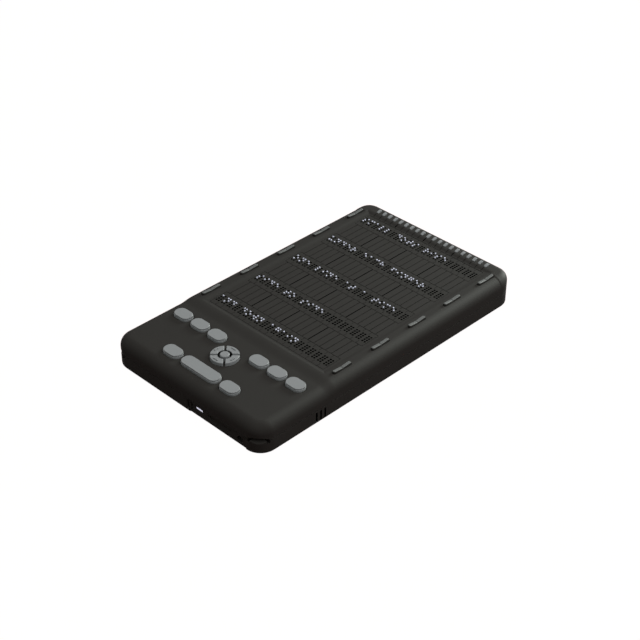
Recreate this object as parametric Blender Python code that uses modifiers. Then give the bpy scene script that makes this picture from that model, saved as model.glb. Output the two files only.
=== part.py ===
"""Braille notetaker: five lines of twenty braille cells over an eight-dot keyboard.

Metres, +Z up. The origin is under the middle of the case, on the surface it stands on,
and -Y is the edge nearest the reader. Every dimension is in the blocks of named values
below; places are worked out from them.
"""
import math

import bmesh
import bpy
from mathutils import Matrix, Vector

# Braille display
LINES = 5
CELLS = 20
DOT_PITCH = 0.0025
CELL_GAP = 0.00402
CAP_END_MARGIN = 0.0056
STRIP_DEPTH = 0.02413
CELL_PITCH = DOT_PITCH + CELL_GAP
CAP_DEPTH = 3 * DOT_PITCH + 2 * CAP_END_MARGIN
LINE_PITCH = CAP_DEPTH + STRIP_DEPTH
FIELD_WIDTH = CELLS * CELL_PITCH
CAP_PLATE = 0.0010
CAP_WALL = 0.0008
CAP_FLANGE = 0.0012
CAP_FLANGE_THICKNESS = 0.0012
CAP_CORNER = 0.0006
PIN_DIAMETER = 0.0014
PIN_TIP_DIAMETER = 0.0012
PIN_RISE = 0.00060
PIN_CLEARANCE = 0.0002
COMB_THICKNESS = 0.0012

# Case
TOP_EDGE_RADIUS = 0.0093
REAR_EDGE_RADIUS = 0.0060
BOTTOM_EDGE_RADIUS = 0.0022
CORNER_RADIUS = 0.0150
WALL = 0.0022
FLOOR = 0.0022
INNER_CORNER_RADIUS = 0.0200
FOOT_HEIGHT = 0.0006
FOOT_RADIUS = 0.0060
FOOT_INSET = 0.0190
LOWER_HEIGHT = 0.01265
DECK_OVER_SEAM = 0.01435
SEAM_GAP = 0.0007
TONGUE_HEIGHT = 0.0018
TONGUE_THICKNESS = 0.0009

# Relief of the top, heights against the deck that the braille lines lie in
DECK_SIDE_MARGIN = 0.0008
DECK_END_MARGIN = 0.0004
RAIL_SLOPE_RUN = 0.0056
RAIL_FLAT = 0.0045
RAIL_RISE = 0.0009
FRONT_SLOPE_RUN = 0.0045
RIDGE_LAND = 0.0005
KEYPAD_SLOPE_RUN = 0.0116
KEYPAD_DROP = 0.0005
REAR_SLOPE_RUN = 0.0056
REAR_LAND = 0.0060
REAR_RISE = 0.00135
GROOVE_WIDTH = 0.0005
GROOVE_DEPTH = 0.0003
WIDE_GROOVE_WIDTH = 0.0009
WIDE_GROOVE_DEPTH = 0.0005
GROOVES_PER_GROUP = 5

# Keyboard
KEY_LENGTH = 0.0183
KEY_DEPTH = 0.0129
KEY_GAP = 0.0020
KEY_CORNER = 0.0060
KEY_RISE = 0.0035
KEY_SKIRT_BASE = 0.0008
KEY_SKIRT_RISE = 0.0011
KEY_TOP_INSET = 0.00035
KEY_TOP_RADIUS = 0.0006
KEY_FLANGE = 0.0008
KEY_FLANGE_THICKNESS = 0.0012
KEY_TRAVEL = 0.0010
DOT_KEY_INNER_X = 0.0241
DOT_KEY_MARGIN = 0.00515
THUMB_KEY_LENGTH = 0.0188
THUMB_KEY_GAP = 0.0024
THUMB_KEY_MARGIN = 0.0031
SPACE_BAR_LENGTH = 0.0418
ROW_SPACING = 0.03815
NAV_BEHIND_THUMB_ROW = 0.02445
NAV_RADIUS = 0.0122
NAV_BORE_RADIUS = 0.0056
NAV_SLIT = 0.0017
NAV_RISE = 0.0027
NAV_EDGE = 0.0008
SELECT_RADIUS = 0.0041
SELECT_RISE = 0.0029
SELECT_DOME = 0.0010
KEYPAD_BOARD_MARGIN = 0.0114
KEYPAD_BOARD_THICKNESS = 0.0016
POST_RADIUS = 0.0025
POST_INSET_X = 0.0090
POST_INSET_Y = 0.0030

# Panning rockers and cursor routing keys
ROCKER_WIDTH = 0.0034
ROCKER_LENGTH = 0.0186
ROCKER_RISE = 0.0019
ROCKER_DIP = 0.0007
ROCKER_CORNER = 0.0014
ROCKER_EDGE = 0.0004
ROCKER_DEPTH = 0.0018
ROCKER_INSET = 0.0037
ROCKER_AHEAD = 0.0009
ROCKER_END_GAP = 0.0006
ROCKER_PIN_RADIUS = 0.0009
ROCKER_PIN_LENGTH = 0.0058
ROCKER_PIN_GAP = 0.0006
ROUTING_WIDTH = 0.0031
ROUTING_LENGTH = 0.0040
ROUTING_RISE = 0.0012
ROUTING_EDGE = 0.0006
ROUTING_FLANGE = 0.0006
ROUTING_FLANGE_THICKNESS = 0.0010
ROUTING_SETBACK = 0.0007

# Front edge: ports, switch and lanyard slots
RECESS_LEFT_X = 0.0040
RECESS_RIGHT_X = 0.0700
RECESS_RAMP = 0.0030
RECESS_DEPTH = 0.0007
RECESS_BELOW_SEAM = 0.0010
SWITCH_X = 0.0065
SWITCH_WIDTH = 0.0030
SWITCH_HEIGHT = 0.0070
SWITCH_TRAVEL = 0.0036
SWITCH_BELOW_SEAM = 0.0056
SWITCH_FLANGE = 0.0008
SWITCH_FLANGE_THICKNESS = 0.0010
SWITCH_EDGE = 0.0004
USB_X = 0.0172
USB_WIDTH = 0.0089
USB_HEIGHT = 0.0033
USB_DEPTH = 0.0074
USB_WALL = 0.0003
USB_SINK = 0.0004
USB_BELOW_SEAM = 0.0046
USB_SETBACK = 0.0003
CARD_X = 0.0410
CARD_SCOOP_WIDTH = 0.0280
CARD_SCOOP_HEIGHT = 0.0060
CARD_SCOOP_DEPTH = 0.0010
CARD_SLOT_WIDTH = 0.0246
CARD_SLOT_HEIGHT = 0.0018
CARD_BELOW_SEAM = 0.0036
CARD_READER_WIDTH = 0.0260
CARD_READER_LENGTH = 0.0200
CARD_READER_HEIGHT = 0.0028
JACK_X = 0.0630
JACK_RADIUS = 0.0030
JACK_BORE_RADIUS = 0.00175
JACK_DEPTH = 0.0120
JACK_BORE_DEPTH = 0.0100
JACK_BELOW_SEAM = 0.0067
LANYARD_LENGTH = 0.0170
LANYARD_HEIGHT = 0.0040
LANYARD_DEPTH = 0.0022
LANYARD_BELOW_SEAM = 0.0008
VENT_COUNT = 3
VENT_WIDTH = 0.0019
VENT_HEIGHT = 0.0085
VENT_PITCH = 0.00455
VENT_DEPTH = 0.0014
VENT_FROM_KEYPAD_REAR = 0.0053
VENT_BELOW_SEAM = 0.0018

# Inside
MAIN_BOARD_THICKNESS = 0.0016
MAIN_BOARD_LEFT_X = 0.0000
MAIN_BOARD_RIGHT_X = 0.0720
MAIN_BOARD_LENGTH = 0.0560
MAIN_BOARD_SETBACK = 0.0058
BOARD_POST_RADIUS = 0.0024
BOARD_POST_INSET = 0.0050
BATTERY_WIDTH = 0.1120
BATTERY_LENGTH = 0.0640
BATTERY_HEIGHT = 0.0085
BATTERY_CORNER = 0.0030
BATTERY_EDGE = 0.0010

# Fits
CLEARANCE = 0.0003
KEY_CLEARANCE = 0.0004
OVERRUN = 0.0010

# Facets
CORNER_SEGMENTS = 8
EDGE_SEGMENTS = 5
KEY_SEGMENTS = 4
SMALL_SEGMENTS = 2
ROUND_SIDES = 24
PIN_SIDES = 4
SMOOTH_ANGLE = math.radians(32)

# Raised dots of each cell, numbered 1 to 8, from the rear line to the front line
DOT_ROWS = {1: 0, 2: 1, 3: 2, 4: 0, 5: 1, 6: 2, 7: 3, 8: 3}
DOT_COLUMNS = {1: 0, 2: 0, 3: 0, 4: 1, 5: 1, 6: 1, 7: 0, 8: 1}
LETTER_DOTS = {
    "a": (1,), "b": (1, 2), "c": (1, 4), "d": (1, 4, 5), "e": (1, 5), "f": (1, 2, 4),
    "g": (1, 2, 4, 5), "h": (1, 2, 5), "i": (2, 4), "j": (2, 4, 5), "k": (1, 3), "l": (1, 2, 3),
    "m": (1, 3, 4), "n": (1, 3, 4, 5), "o": (1, 3, 5), "p": (1, 2, 3, 4), "q": (1, 2, 3, 4, 5),
    "r": (1, 2, 3, 5), "s": (2, 3, 4), "t": (2, 3, 4, 5), "u": (1, 3, 6), "v": (1, 2, 3, 6),
    "w": (2, 4, 5, 6), "x": (1, 3, 4, 6), "y": (1, 3, 4, 5, 6), "z": (1, 3, 5, 6), " ": (),
}
TEXT_LINES = ("small dots rise", "under each finger", "one line at a time", "side to side", "and down again")

# Places worked out from the sizes above
CASE_WIDTH = FIELD_WIDTH + 2 * (DECK_SIDE_MARGIN + RAIL_SLOPE_RUN + RAIL_FLAT + TOP_EDGE_RADIUS)
DECK_LENGTH = (LINES - 1) * LINE_PITCH + CAP_DEPTH + 2 * DECK_END_MARGIN
KEYPAD_LENGTH = DOT_KEY_MARGIN + KEY_DEPTH + ROW_SPACING + THUMB_KEY_MARGIN
CASE_LENGTH = (TOP_EDGE_RADIUS + KEYPAD_LENGTH + KEYPAD_SLOPE_RUN + RIDGE_LAND + FRONT_SLOPE_RUN
               + DECK_LENGTH + REAR_SLOPE_RUN + REAR_LAND + REAR_EDGE_RADIUS)
FRONT_Y = -CASE_LENGTH / 2
REAR_Y = CASE_LENGTH / 2
KEYPAD_FRONT_Y = FRONT_Y + TOP_EDGE_RADIUS
KEYPAD_REAR_Y = KEYPAD_FRONT_Y + KEYPAD_LENGTH
RIDGE_Y = KEYPAD_REAR_Y + KEYPAD_SLOPE_RUN
DECK_FRONT_Y = RIDGE_Y + RIDGE_LAND + FRONT_SLOPE_RUN
DECK_REAR_Y = DECK_FRONT_Y + DECK_LENGTH
CREST_Y = DECK_REAR_Y + REAR_SLOPE_RUN
LAND_START_Y = DECK_REAR_Y + REAR_SLOPE_RUN / 3
UNDERSIDE_Z = FOOT_HEIGHT
SEAM_Z = UNDERSIDE_Z + LOWER_HEIGHT
DECK_Z = SEAM_Z + DECK_OVER_SEAM
RAIL_Z = DECK_Z + RAIL_RISE
KEYPAD_Z = DECK_Z - KEYPAD_DROP
LAND_Z = DECK_Z + REAR_RISE
DECK_HALF_WIDTH = FIELD_WIDTH / 2 + DECK_SIDE_MARGIN
RAIL_X = DECK_HALF_WIDTH + RAIL_SLOPE_RUN
THUMB_ROW_Y = KEYPAD_FRONT_Y + THUMB_KEY_MARGIN + KEY_DEPTH / 2
DOT_ROW_Y = THUMB_ROW_Y + ROW_SPACING
NAV_Y = THUMB_ROW_Y + NAV_BEHIND_THUMB_ROW
FIRST_LINE_Y = DECK_FRONT_Y + DECK_END_MARGIN + CAP_DEPTH / 2

parts = bpy.data.collections.new("braille_notetaker")
cutters = bpy.data.collections.new("cutters")
finishes = {}


def clear_scene():
    for obj in list(bpy.data.objects):
        bpy.data.objects.remove(obj, do_unlink=True)
    bpy.context.scene.collection.children.link(parts)
    bpy.context.scene.collection.children.link(cutters)


def finish(name, colour, roughness, metallic=0.0):
    material = bpy.data.materials.new(name)
    material.use_nodes = True
    shader = material.node_tree.nodes["Principled BSDF"]
    shader.inputs["Base Color"].default_value = (*colour, 1.0)
    shader.inputs["Roughness"].default_value = roughness
    shader.inputs["Metallic"].default_value = metallic
    finishes[name] = material


def add_object(name, mesh_data, collection, place=(0, 0, 0), turn=0.0):
    obj = bpy.data.objects.new(name, mesh_data)
    obj.location = place
    obj.rotation_euler = (0, 0, turn)
    collection.objects.link(obj)
    return obj


def add_part(name, bm, material, place=(0, 0, 0), turn=0.0):
    """One sub-part from its finished mesh, with its origin at place."""
    mesh_data = bpy.data.meshes.new(name)
    bmesh.ops.recalc_face_normals(bm, faces=bm.faces)
    bm.to_mesh(mesh_data)
    bm.free()
    mesh_data.materials.append(finishes[material])
    mesh_data.shade_smooth()
    mesh_data.set_sharp_from_angle(angle=SMOOTH_ANGLE)
    return add_object(name, mesh_data, parts, place, turn)


def add_cutter(name, bm, place=(0, 0, 0), turn=0.0):
    mesh_data = bpy.data.meshes.new(name)
    bmesh.ops.recalc_face_normals(bm, faces=bm.faces)
    bm.to_mesh(mesh_data)
    bm.free()
    obj = add_object(name, mesh_data, cutters, place, turn)
    obj.hide_render = True
    obj.display_type = "WIRE"
    return obj


def combine(target, other, operation="DIFFERENCE"):
    modifier = target.modifiers.new(other.name, "BOOLEAN")
    modifier.operation = operation
    modifier.solver = "EXACT"
    modifier.object = other


def block(bm, size, base):
    """A box of the given size whose underside is centred on base."""
    made = bmesh.ops.create_cube(bm, size=1)["verts"]
    bmesh.ops.scale(bm, vec=size, verts=made)
    bmesh.ops.translate(bm, vec=Vector(base) + Vector((0, 0, size[2] / 2)), verts=made)
    return made


def upright_edges(verts):
    edges = {edge for vert in verts for edge in vert.link_edges}
    return [edge for edge in edges
            if abs(edge.verts[0].co.z - edge.verts[1].co.z) > abs(edge.verts[0].co.x - edge.verts[1].co.x)
            and edge.verts[0].co.xy == edge.verts[1].co.xy]


def slab(bm, size, base, corner, segments=CORNER_SEGMENTS):
    """A block with rounded upright corners. Returns its flat top face."""
    made = block(bm, size, base)
    bmesh.ops.bevel(bm, geom=upright_edges(made), offset=corner, offset_type="OFFSET",
                    segments=segments, profile=0.5, affect="EDGES")
    return top_face(bm)


def top_face(bm):
    return max(bm.faces, key=lambda face: (round(face.calc_center_median().z, 7), face.calc_area()))


def raise_top(bm, inset, rise):
    """Draws the top face in by inset and lifts it by rise."""
    bmesh.ops.inset_individual(bm, faces=[top_face(bm)], thickness=inset, depth=rise,
                               use_even_offset=True)


def round_top(bm, radius, segments):
    """A rounded edge round the top face, a quarter circle in short steps."""
    for step in range(segments):
        start = math.pi / 2 * step / segments
        stop = math.pi / 2 * (step + 1) / segments
        raise_top(bm, radius * (math.cos(start) - math.cos(stop)),
                  radius * (math.sin(stop) - math.sin(start)))


def cylinder(bm, radius, height, centre, axis="Z", sides=ROUND_SIDES, tip_radius=None):
    """A round bar centred on centre along the axis."""
    turns = {"X": Matrix.Rotation(math.pi / 2, 4, "Y"), "Y": Matrix.Rotation(math.pi / 2, 4, "X"),
             "Z": Matrix.Identity(4)}
    tip = radius if tip_radius is None else tip_radius
    bmesh.ops.create_cone(bm, cap_ends=True, segments=sides, radius1=radius, radius2=tip,
                          depth=height, matrix=Matrix.Translation(centre) @ turns[axis])


def profile_rise(y):
    """Height of the top against the deck at a distance from front to rear, outside the deck."""
    if y <= KEYPAD_REAR_Y:
        return -KEYPAD_DROP
    if y < RIDGE_Y:
        share = (y - KEYPAD_REAR_Y) / KEYPAD_SLOPE_RUN
        smooth = share * share * (3 - 2 * share)
        return -KEYPAD_DROP + (RAIL_RISE + KEYPAD_DROP) * smooth
    if y <= DECK_REAR_Y:
        return RAIL_RISE
    climb = (y - DECK_REAR_Y) / (LAND_START_Y - DECK_REAR_Y)
    return RAIL_RISE + (REAR_RISE - RAIL_RISE) * min(1, climb)


def line_y(line):
    return FIRST_LINE_Y + line * LINE_PITCH


def cell_x(cell):
    return (cell - (CELLS - 1) / 2) * CELL_PITCH


def dot_places(line):
    """Centres of the raised dots of one line, counted from the front line."""
    text = TEXT_LINES[LINES - 1 - line]
    places = []
    for cell, letter in enumerate(text[:CELLS]):
        for dot in LETTER_DOTS[letter]:
            x = cell_x(cell) + (DOT_COLUMNS[dot] - 0.5) * DOT_PITCH
            y = line_y(line) + (1.5 - DOT_ROWS[dot]) * DOT_PITCH
            places.append((x, y))
    return places


def rocker_places():
    """Side, line and centre of each panning rocker."""
    x = RAIL_X + ROCKER_INSET
    return [(side, line, sign * x, line_y(line) + ROCKER_AHEAD)
            for side, sign in (("left", -1), ("right", 1)) for line in range(LINES)]


def dot_key_places():
    """Dot number and centre of each of the six dot keys, 3 2 1 to the left and 4 5 6 to the right."""
    pitch = KEY_LENGTH + KEY_GAP
    left = [(1 + step, -(DOT_KEY_INNER_X + step * pitch)) for step in range(3)]
    right = [(4 + step, DOT_KEY_INNER_X + step * pitch) for step in range(3)]
    return left + right


def key_opening(bm, length, depth, corner, centre, base_z, clearance=CLEARANCE, segments=SMALL_SEGMENTS):
    """A cutter for a key's opening, taller than the wall it cuts."""
    height = LAND_Z - base_z + OVERRUN
    shape = bmesh.new()
    slab(shape, (length + 2 * clearance, depth + 2 * clearance, height), (*centre, base_z),
         corner + clearance, segments)
    join(bm, shape)


def join(bm, other):
    """Adds another mesh to this one and frees it."""
    mesh_data = bpy.data.meshes.new("joined")
    other.to_mesh(mesh_data)
    other.free()
    bm.from_mesh(mesh_data)
    bpy.data.meshes.remove(mesh_data)


def upper_housing():
    """The top shell, with its relief, the openings for everything that shows, and its posts."""
    base_z = SEAM_Z + SEAM_GAP / 2
    bm = bmesh.new()
    slab(bm, (CASE_WIDTH, CASE_LENGTH, DECK_Z - base_z), (0, 0, base_z), CORNER_RADIUS)
    slope_shares = (0, 0.25, 0.5, 0.75, 1)
    stations = [KEYPAD_REAR_Y + share * KEYPAD_SLOPE_RUN for share in slope_shares]
    for y in stations + [DECK_REAR_Y, LAND_START_Y]:
        bmesh.ops.bisect_plane(bm, geom=bm.verts[:] + bm.edges[:] + bm.faces[:],
                               plane_co=(0, y, 0), plane_no=(0, 1, 0))
    half_height = (base_z + DECK_Z) / 2
    bm.normal_update()
    bmesh.ops.delete(bm, geom=[face for face in bm.faces if face.normal.z < -0.5], context="FACES")
    weight = bm.edges.layers.float.new("bevel_weight_edge")
    for edge in bm.edges:
        if edge.is_boundary or len(edge.link_faces) != 2:
            continue
        uprightness = [abs(face.normal.z) > 0.5 for face in edge.link_faces]
        if uprightness[0] != uprightness[1]:
            middle_y = (edge.verts[0].co.y + edge.verts[1].co.y) / 2
            round_share = max(0, (middle_y - REAR_Y + CORNER_RADIUS) / CORNER_RADIUS)
            edge[weight] = 1 + (REAR_EDGE_RADIUS / TOP_EDGE_RADIUS - 1) * min(1, round_share)
    for vert in bm.verts:
        if vert.co.z > half_height:
            vert.co.z += profile_rise(vert.co.y)
    housing = add_part("upper_housing", bm, "charcoal_plastic")
    edge_bevel = housing.modifiers.new("edge", "BEVEL")
    edge_bevel.limit_method = "WEIGHT"
    edge_bevel.width = TOP_EDGE_RADIUS
    edge_bevel.segments = EDGE_SEGMENTS
    edge_bevel.use_clamp_overlap = False
    shell = housing.modifiers.new("shell", "SOLIDIFY")
    shell.thickness = WALL
    shell.offset = -1
    shell.use_even_offset = True
    combine(housing, deck_pocket())
    combine(housing, tongue_rebate())
    combine(housing, top_openings())
    combine(housing, guide_grooves())
    combine(housing, keypad_posts(), "UNION")


def deck_pocket():
    """The sunk deck of the braille lines: level floor, sides that slope up to the rails."""
    height = 2 * REAR_RISE
    bm = bmesh.new()
    verts = block(bm, (2 * DECK_HALF_WIDTH, DECK_LENGTH, height),
                  (0, (DECK_FRONT_Y + DECK_REAR_Y) / 2, DECK_Z))
    for vert in verts:
        if vert.co.z > DECK_Z + height / 2:
            vert.co.x += math.copysign(height * RAIL_SLOPE_RUN / RAIL_RISE, vert.co.x)
            if vert.co.y > (DECK_FRONT_Y + DECK_REAR_Y) / 2:
                vert.co.y += height * REAR_SLOPE_RUN / REAR_RISE
            else:
                vert.co.y -= height * FRONT_SLOPE_RUN / RAIL_RISE
    return add_cutter("deck_pocket", bm)


def tongue_rebate():
    """Room inside the top shell's rim for the tongue of the bottom shell."""
    lip = WALL - TONGUE_THICKNESS - CLEARANCE
    base_z = SEAM_Z - OVERRUN
    bm = bmesh.new()
    slab(bm, (CASE_WIDTH - 2 * lip, CASE_LENGTH - 2 * lip, SEAM_Z + TONGUE_HEIGHT + CLEARANCE - base_z),
         (0, 0, base_z), CORNER_RADIUS - lip, CORNER_SEGMENTS - 1)
    return add_cutter("tongue_rebate", bm)


def top_openings():
    """Openings for the caps, rockers, routing keys, keyboard keys and the arrow pad."""
    base_z = KEYPAD_Z - 2 * WALL
    bm = bmesh.new()
    for line in range(LINES):
        key_opening(bm, FIELD_WIDTH, CAP_DEPTH, CAP_CORNER, (0, line_y(line)), base_z)
    for _, _, x, y in rocker_places():
        key_opening(bm, ROCKER_WIDTH, ROCKER_LENGTH + 2 * (ROCKER_END_GAP - CLEARANCE), ROCKER_CORNER,
                    (x, y), base_z)
    for cell in range(CELLS):
        block(bm, (ROUTING_WIDTH + 2 * CLEARANCE, ROUTING_LENGTH + 2 * CLEARANCE, LAND_Z - base_z + OVERRUN),
              (cell_x(cell), routing_y(), base_z))
    thumb_keys = [(x, THUMB_ROW_Y, THUMB_KEY_LENGTH) for x in (-thumb_key_x(), thumb_key_x())]
    dot_keys = [(x, DOT_ROW_Y, KEY_LENGTH) for _, x in dot_key_places()]
    for x, y, length in dot_keys + thumb_keys + [(0, THUMB_ROW_Y, SPACE_BAR_LENGTH)]:
        key_opening(bm, length, KEY_DEPTH, KEY_CORNER, (x, y), base_z, KEY_CLEARANCE, KEY_SEGMENTS)
    height = LAND_Z - base_z + OVERRUN
    cylinder(bm, NAV_RADIUS + KEY_CLEARANCE, height, (0, NAV_Y, base_z + height / 2))
    return add_cutter("top_openings", bm)


def guide_grooves():
    """Grooves that lead from each cell to its routing key, with a wider one after every fifth."""
    length = DECK_LENGTH - 2 * (DECK_END_MARGIN + CAP_DEPTH)
    bm = bmesh.new()
    for cell in range(CELLS):
        wide = (cell + 1) % GROOVES_PER_GROUP == 0 and cell < CELLS - 1
        width = WIDE_GROOVE_WIDTH if wide else GROOVE_WIDTH
        depth = WIDE_GROOVE_DEPTH if wide else GROOVE_DEPTH
        block(bm, (width, length, depth + OVERRUN), (cell_x(cell), line_y(LINES - 1) / 2 + line_y(0) / 2,
                                                    DECK_Z - depth))
    return add_cutter("guide_grooves", bm)


def keypad_post_places():
    x = keypad_board_width() / 2 - POST_INSET_X
    rows = ((DOT_ROW_Y + THUMB_ROW_Y) / 2, KEYPAD_REAR_Y + POST_INSET_Y)
    return [(sign * x, y) for sign in (-1, 1) for y in rows]


def keypad_board_width():
    return CASE_WIDTH - 2 * KEYPAD_BOARD_MARGIN


def keypad_board_z():
    """Top of the keyboard's board, below the keys at the bottom of their travel."""
    return KEYPAD_Z - WALL - CLEARANCE - KEY_FLANGE_THICKNESS - KEY_TRAVEL - CLEARANCE


def keypad_posts():
    """Posts under the top shell that the keyboard's board is fixed to."""
    bottom = keypad_board_z() + CLEARANCE
    top = KEYPAD_Z - WALL / 2
    bm = bmesh.new()
    for x, y in keypad_post_places():
        cylinder(bm, POST_RADIUS, top - bottom, (x, y, (top + bottom) / 2), sides=ROUND_SIDES // 3)
    return add_cutter("keypad_posts", bm)


def lower_housing():
    """The bottom tray, with its tongue, feet, ports, vents, lanyard slots and board posts."""
    top_z = SEAM_Z - SEAM_GAP / 2
    lip = WALL - TONGUE_THICKNESS - CLEARANCE
    bm = bmesh.new()
    slab(bm, (CASE_WIDTH, CASE_LENGTH, top_z - UNDERSIDE_Z), (0, 0, UNDERSIDE_Z), CORNER_RADIUS)
    bm.normal_update()
    rim = [edge for edge in bm.edges
           if max(vert.co.z for vert in edge.verts) < UNDERSIDE_Z + OVERRUN / 2]
    bmesh.ops.bevel(bm, geom=rim, offset=BOTTOM_EDGE_RADIUS, offset_type="OFFSET",
                    segments=SMALL_SEGMENTS, profile=0.5, affect="EDGES")
    raise_top(bm, lip + CLEARANCE, 0)
    raise_top(bm, 0, SEAM_GAP / 2 + TONGUE_HEIGHT)
    housing = add_part("lower_housing", bm, "charcoal_plastic")
    combine(housing, tray_hollow())
    combine(housing, port_recess())
    combine(housing, front_openings())
    combine(housing, side_pockets())
    combine(housing, tray_fixings(), "UNION")


def tray_hollow():
    base_z = UNDERSIDE_Z + FLOOR
    height = SEAM_Z + TONGUE_HEIGHT + OVERRUN - base_z
    bm = bmesh.new()
    slab(bm, (CASE_WIDTH - 2 * WALL, CASE_LENGTH - 2 * WALL, height), (0, 0, base_z), INNER_CORNER_RADIUS)
    return add_cutter("tray_hollow", bm)


def port_recess():
    """The sunk band of the front face that holds the ports, with a ramp at its left end.

    Its lower edge is as round as the case's, so it is a band of the same outline set back.
    """
    top_z = SEAM_Z - RECESS_BELOW_SEAM
    turn = math.pi / 2 / SMALL_SEGMENTS
    outline = [(-OVERRUN, top_z), (RECESS_DEPTH, top_z)]
    for step in range(SMALL_SEGMENTS + 1):
        outline.append((RECESS_DEPTH + BOTTOM_EDGE_RADIUS * (1 - math.cos(step * turn)),
                        UNDERSIDE_Z + BOTTOM_EDGE_RADIUS * (1 - math.sin(step * turn))))
    outline.append((RECESS_DEPTH + BOTTOM_EDGE_RADIUS + OVERRUN, UNDERSIDE_Z - OVERRUN * math.tan(turn / 2)))
    outline.append((-OVERRUN, UNDERSIDE_Z - OVERRUN))
    bm = bmesh.new()
    verts = [bm.verts.new((RECESS_LEFT_X, FRONT_Y + y, z)) for y, z in outline]
    swept = bmesh.ops.extrude_face_region(bm, geom=[bm.faces.new(verts)])["geom"]
    bmesh.ops.translate(bm, vec=(RECESS_RIGHT_X - RECESS_LEFT_X, 0, 0),
                        verts=[item for item in swept if isinstance(item, bmesh.types.BMVert)])
    for vert in verts:
        vert.co.x += RECESS_RAMP * (vert.co.y - FRONT_Y) / RECESS_DEPTH
    return add_cutter("port_recess", bm)


def front_openings():
    """Openings of the switch, the sockets and the card slot, and the scoop round the card slot."""
    depth = WALL + 2 * OVERRUN
    middle_y = FRONT_Y + WALL / 2
    bm = bmesh.new()
    block(bm, (SWITCH_WIDTH + SWITCH_TRAVEL + 2 * CLEARANCE, depth, SWITCH_HEIGHT + 2 * CLEARANCE),
          (SWITCH_X, middle_y, switch_z() - SWITCH_HEIGHT / 2 - CLEARANCE))
    block(bm, (USB_WIDTH + 2 * CLEARANCE, depth, USB_HEIGHT + 2 * CLEARANCE),
          (USB_X, middle_y, usb_z() - USB_HEIGHT / 2 - CLEARANCE))
    block(bm, (CARD_SLOT_WIDTH, depth, CARD_SLOT_HEIGHT), (CARD_X, middle_y, board_top_z() + CLEARANCE))
    cylinder(bm, JACK_RADIUS, depth, (JACK_X, middle_y, jack_z()), "Y")
    openings = add_cutter("front_openings", bm)
    combine(openings, card_scoop(), "UNION")
    return openings


def card_scoop():
    """A shallow scoop, level above and curved below, a slice of a wide round cutter."""
    top_z = SEAM_Z - CARD_BELOW_SEAM
    half = CARD_SCOOP_WIDTH / 2
    radius = (half * half + CARD_SCOOP_HEIGHT * CARD_SCOOP_HEIGHT) / (2 * CARD_SCOOP_HEIGHT)
    bm = bmesh.new()
    depth = RECESS_DEPTH + CARD_SCOOP_DEPTH + OVERRUN
    cylinder(bm, radius, depth, (CARD_X, FRONT_Y - OVERRUN + depth / 2, top_z - CARD_SCOOP_HEIGHT + radius),
             "Y", 2 * ROUND_SIDES)
    bmesh.ops.bisect_plane(bm, geom=bm.verts[:] + bm.edges[:] + bm.faces[:], plane_co=(0, 0, top_z),
                           plane_no=(0, 0, 1), clear_outer=True)
    bmesh.ops.holes_fill(bm, edges=[edge for edge in bm.edges if edge.is_boundary])
    return add_cutter("card_scoop", bm)


def side_pockets():
    """Vent slots in the right side, and the lanyard slots across the two front corners."""
    bm = bmesh.new()
    middle_y = KEYPAD_REAR_Y - VENT_FROM_KEYPAD_REAR
    for step in range(VENT_COUNT):
        y = middle_y + (step - (VENT_COUNT - 1) / 2) * VENT_PITCH
        block(bm, (VENT_DEPTH + OVERRUN, VENT_WIDTH, VENT_HEIGHT),
              (CASE_WIDTH / 2 - (VENT_DEPTH - OVERRUN) / 2, y, SEAM_Z - VENT_BELOW_SEAM - VENT_HEIGHT))
    for sign in (-1, 1):
        corner = Vector((sign * (CASE_WIDTH / 2 - CORNER_RADIUS), FRONT_Y + CORNER_RADIUS, 0))
        outward = Vector((sign, -1, 0)).normalized()
        middle = corner + outward * (CORNER_RADIUS - LANYARD_DEPTH + CORNER_RADIUS / 2)
        shape = bmesh.new()
        block(shape, (LANYARD_LENGTH, CORNER_RADIUS, LANYARD_HEIGHT), (0, 0, 0))
        turn = Matrix.Rotation(sign * math.pi / 4, 4, "Z")
        lift = SEAM_Z - LANYARD_BELOW_SEAM - LANYARD_HEIGHT
        bmesh.ops.transform(shape, matrix=Matrix.Translation(middle + Vector((0, 0, lift))) @ turn,
                            verts=shape.verts)
        join(bm, shape)
    return add_cutter("side_pockets", bm)


def tray_fixings():
    """Feet under the tray, and posts in it for the main board."""
    bm = bmesh.new()
    foot_height = UNDERSIDE_Z + FLOOR / 2
    for sign_x in (-1, 1):
        for sign_y in (-1, 1):
            place = (sign_x * (CASE_WIDTH / 2 - FOOT_INSET), sign_y * (CASE_LENGTH / 2 - FOOT_INSET),
                     foot_height / 2)
            cylinder(bm, FOOT_RADIUS, foot_height, place, sides=ROUND_SIDES // 2)
    top = board_top_z() - MAIN_BOARD_THICKNESS - CLEARANCE
    bottom = UNDERSIDE_Z + FLOOR / 2
    for x in (MAIN_BOARD_LEFT_X + BOARD_POST_INSET, MAIN_BOARD_RIGHT_X - BOARD_POST_INSET):
        for y in (board_front_y() + 2 * BOARD_POST_INSET, board_front_y() + MAIN_BOARD_LENGTH - BOARD_POST_INSET):
            cylinder(bm, BOARD_POST_RADIUS, top - bottom, (x, y, (top + bottom) / 2), sides=ROUND_SIDES // 3)
    return add_cutter("tray_fixings", bm)


def switch_z():
    return SEAM_Z - SWITCH_BELOW_SEAM


def usb_z():
    return SEAM_Z - USB_BELOW_SEAM


def jack_z():
    return SEAM_Z - JACK_BELOW_SEAM


def board_top_z():
    """The board's top, which the USB socket is sunk into."""
    return usb_z() - USB_HEIGHT / 2 + USB_SINK


def board_front_y():
    return FRONT_Y + MAIN_BOARD_SETBACK


def thumb_key_x():
    return SPACE_BAR_LENGTH / 2 + THUMB_KEY_GAP + THUMB_KEY_LENGTH / 2


def routing_y():
    return CREST_Y + ROUTING_SETBACK + ROUTING_LENGTH / 2


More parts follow.
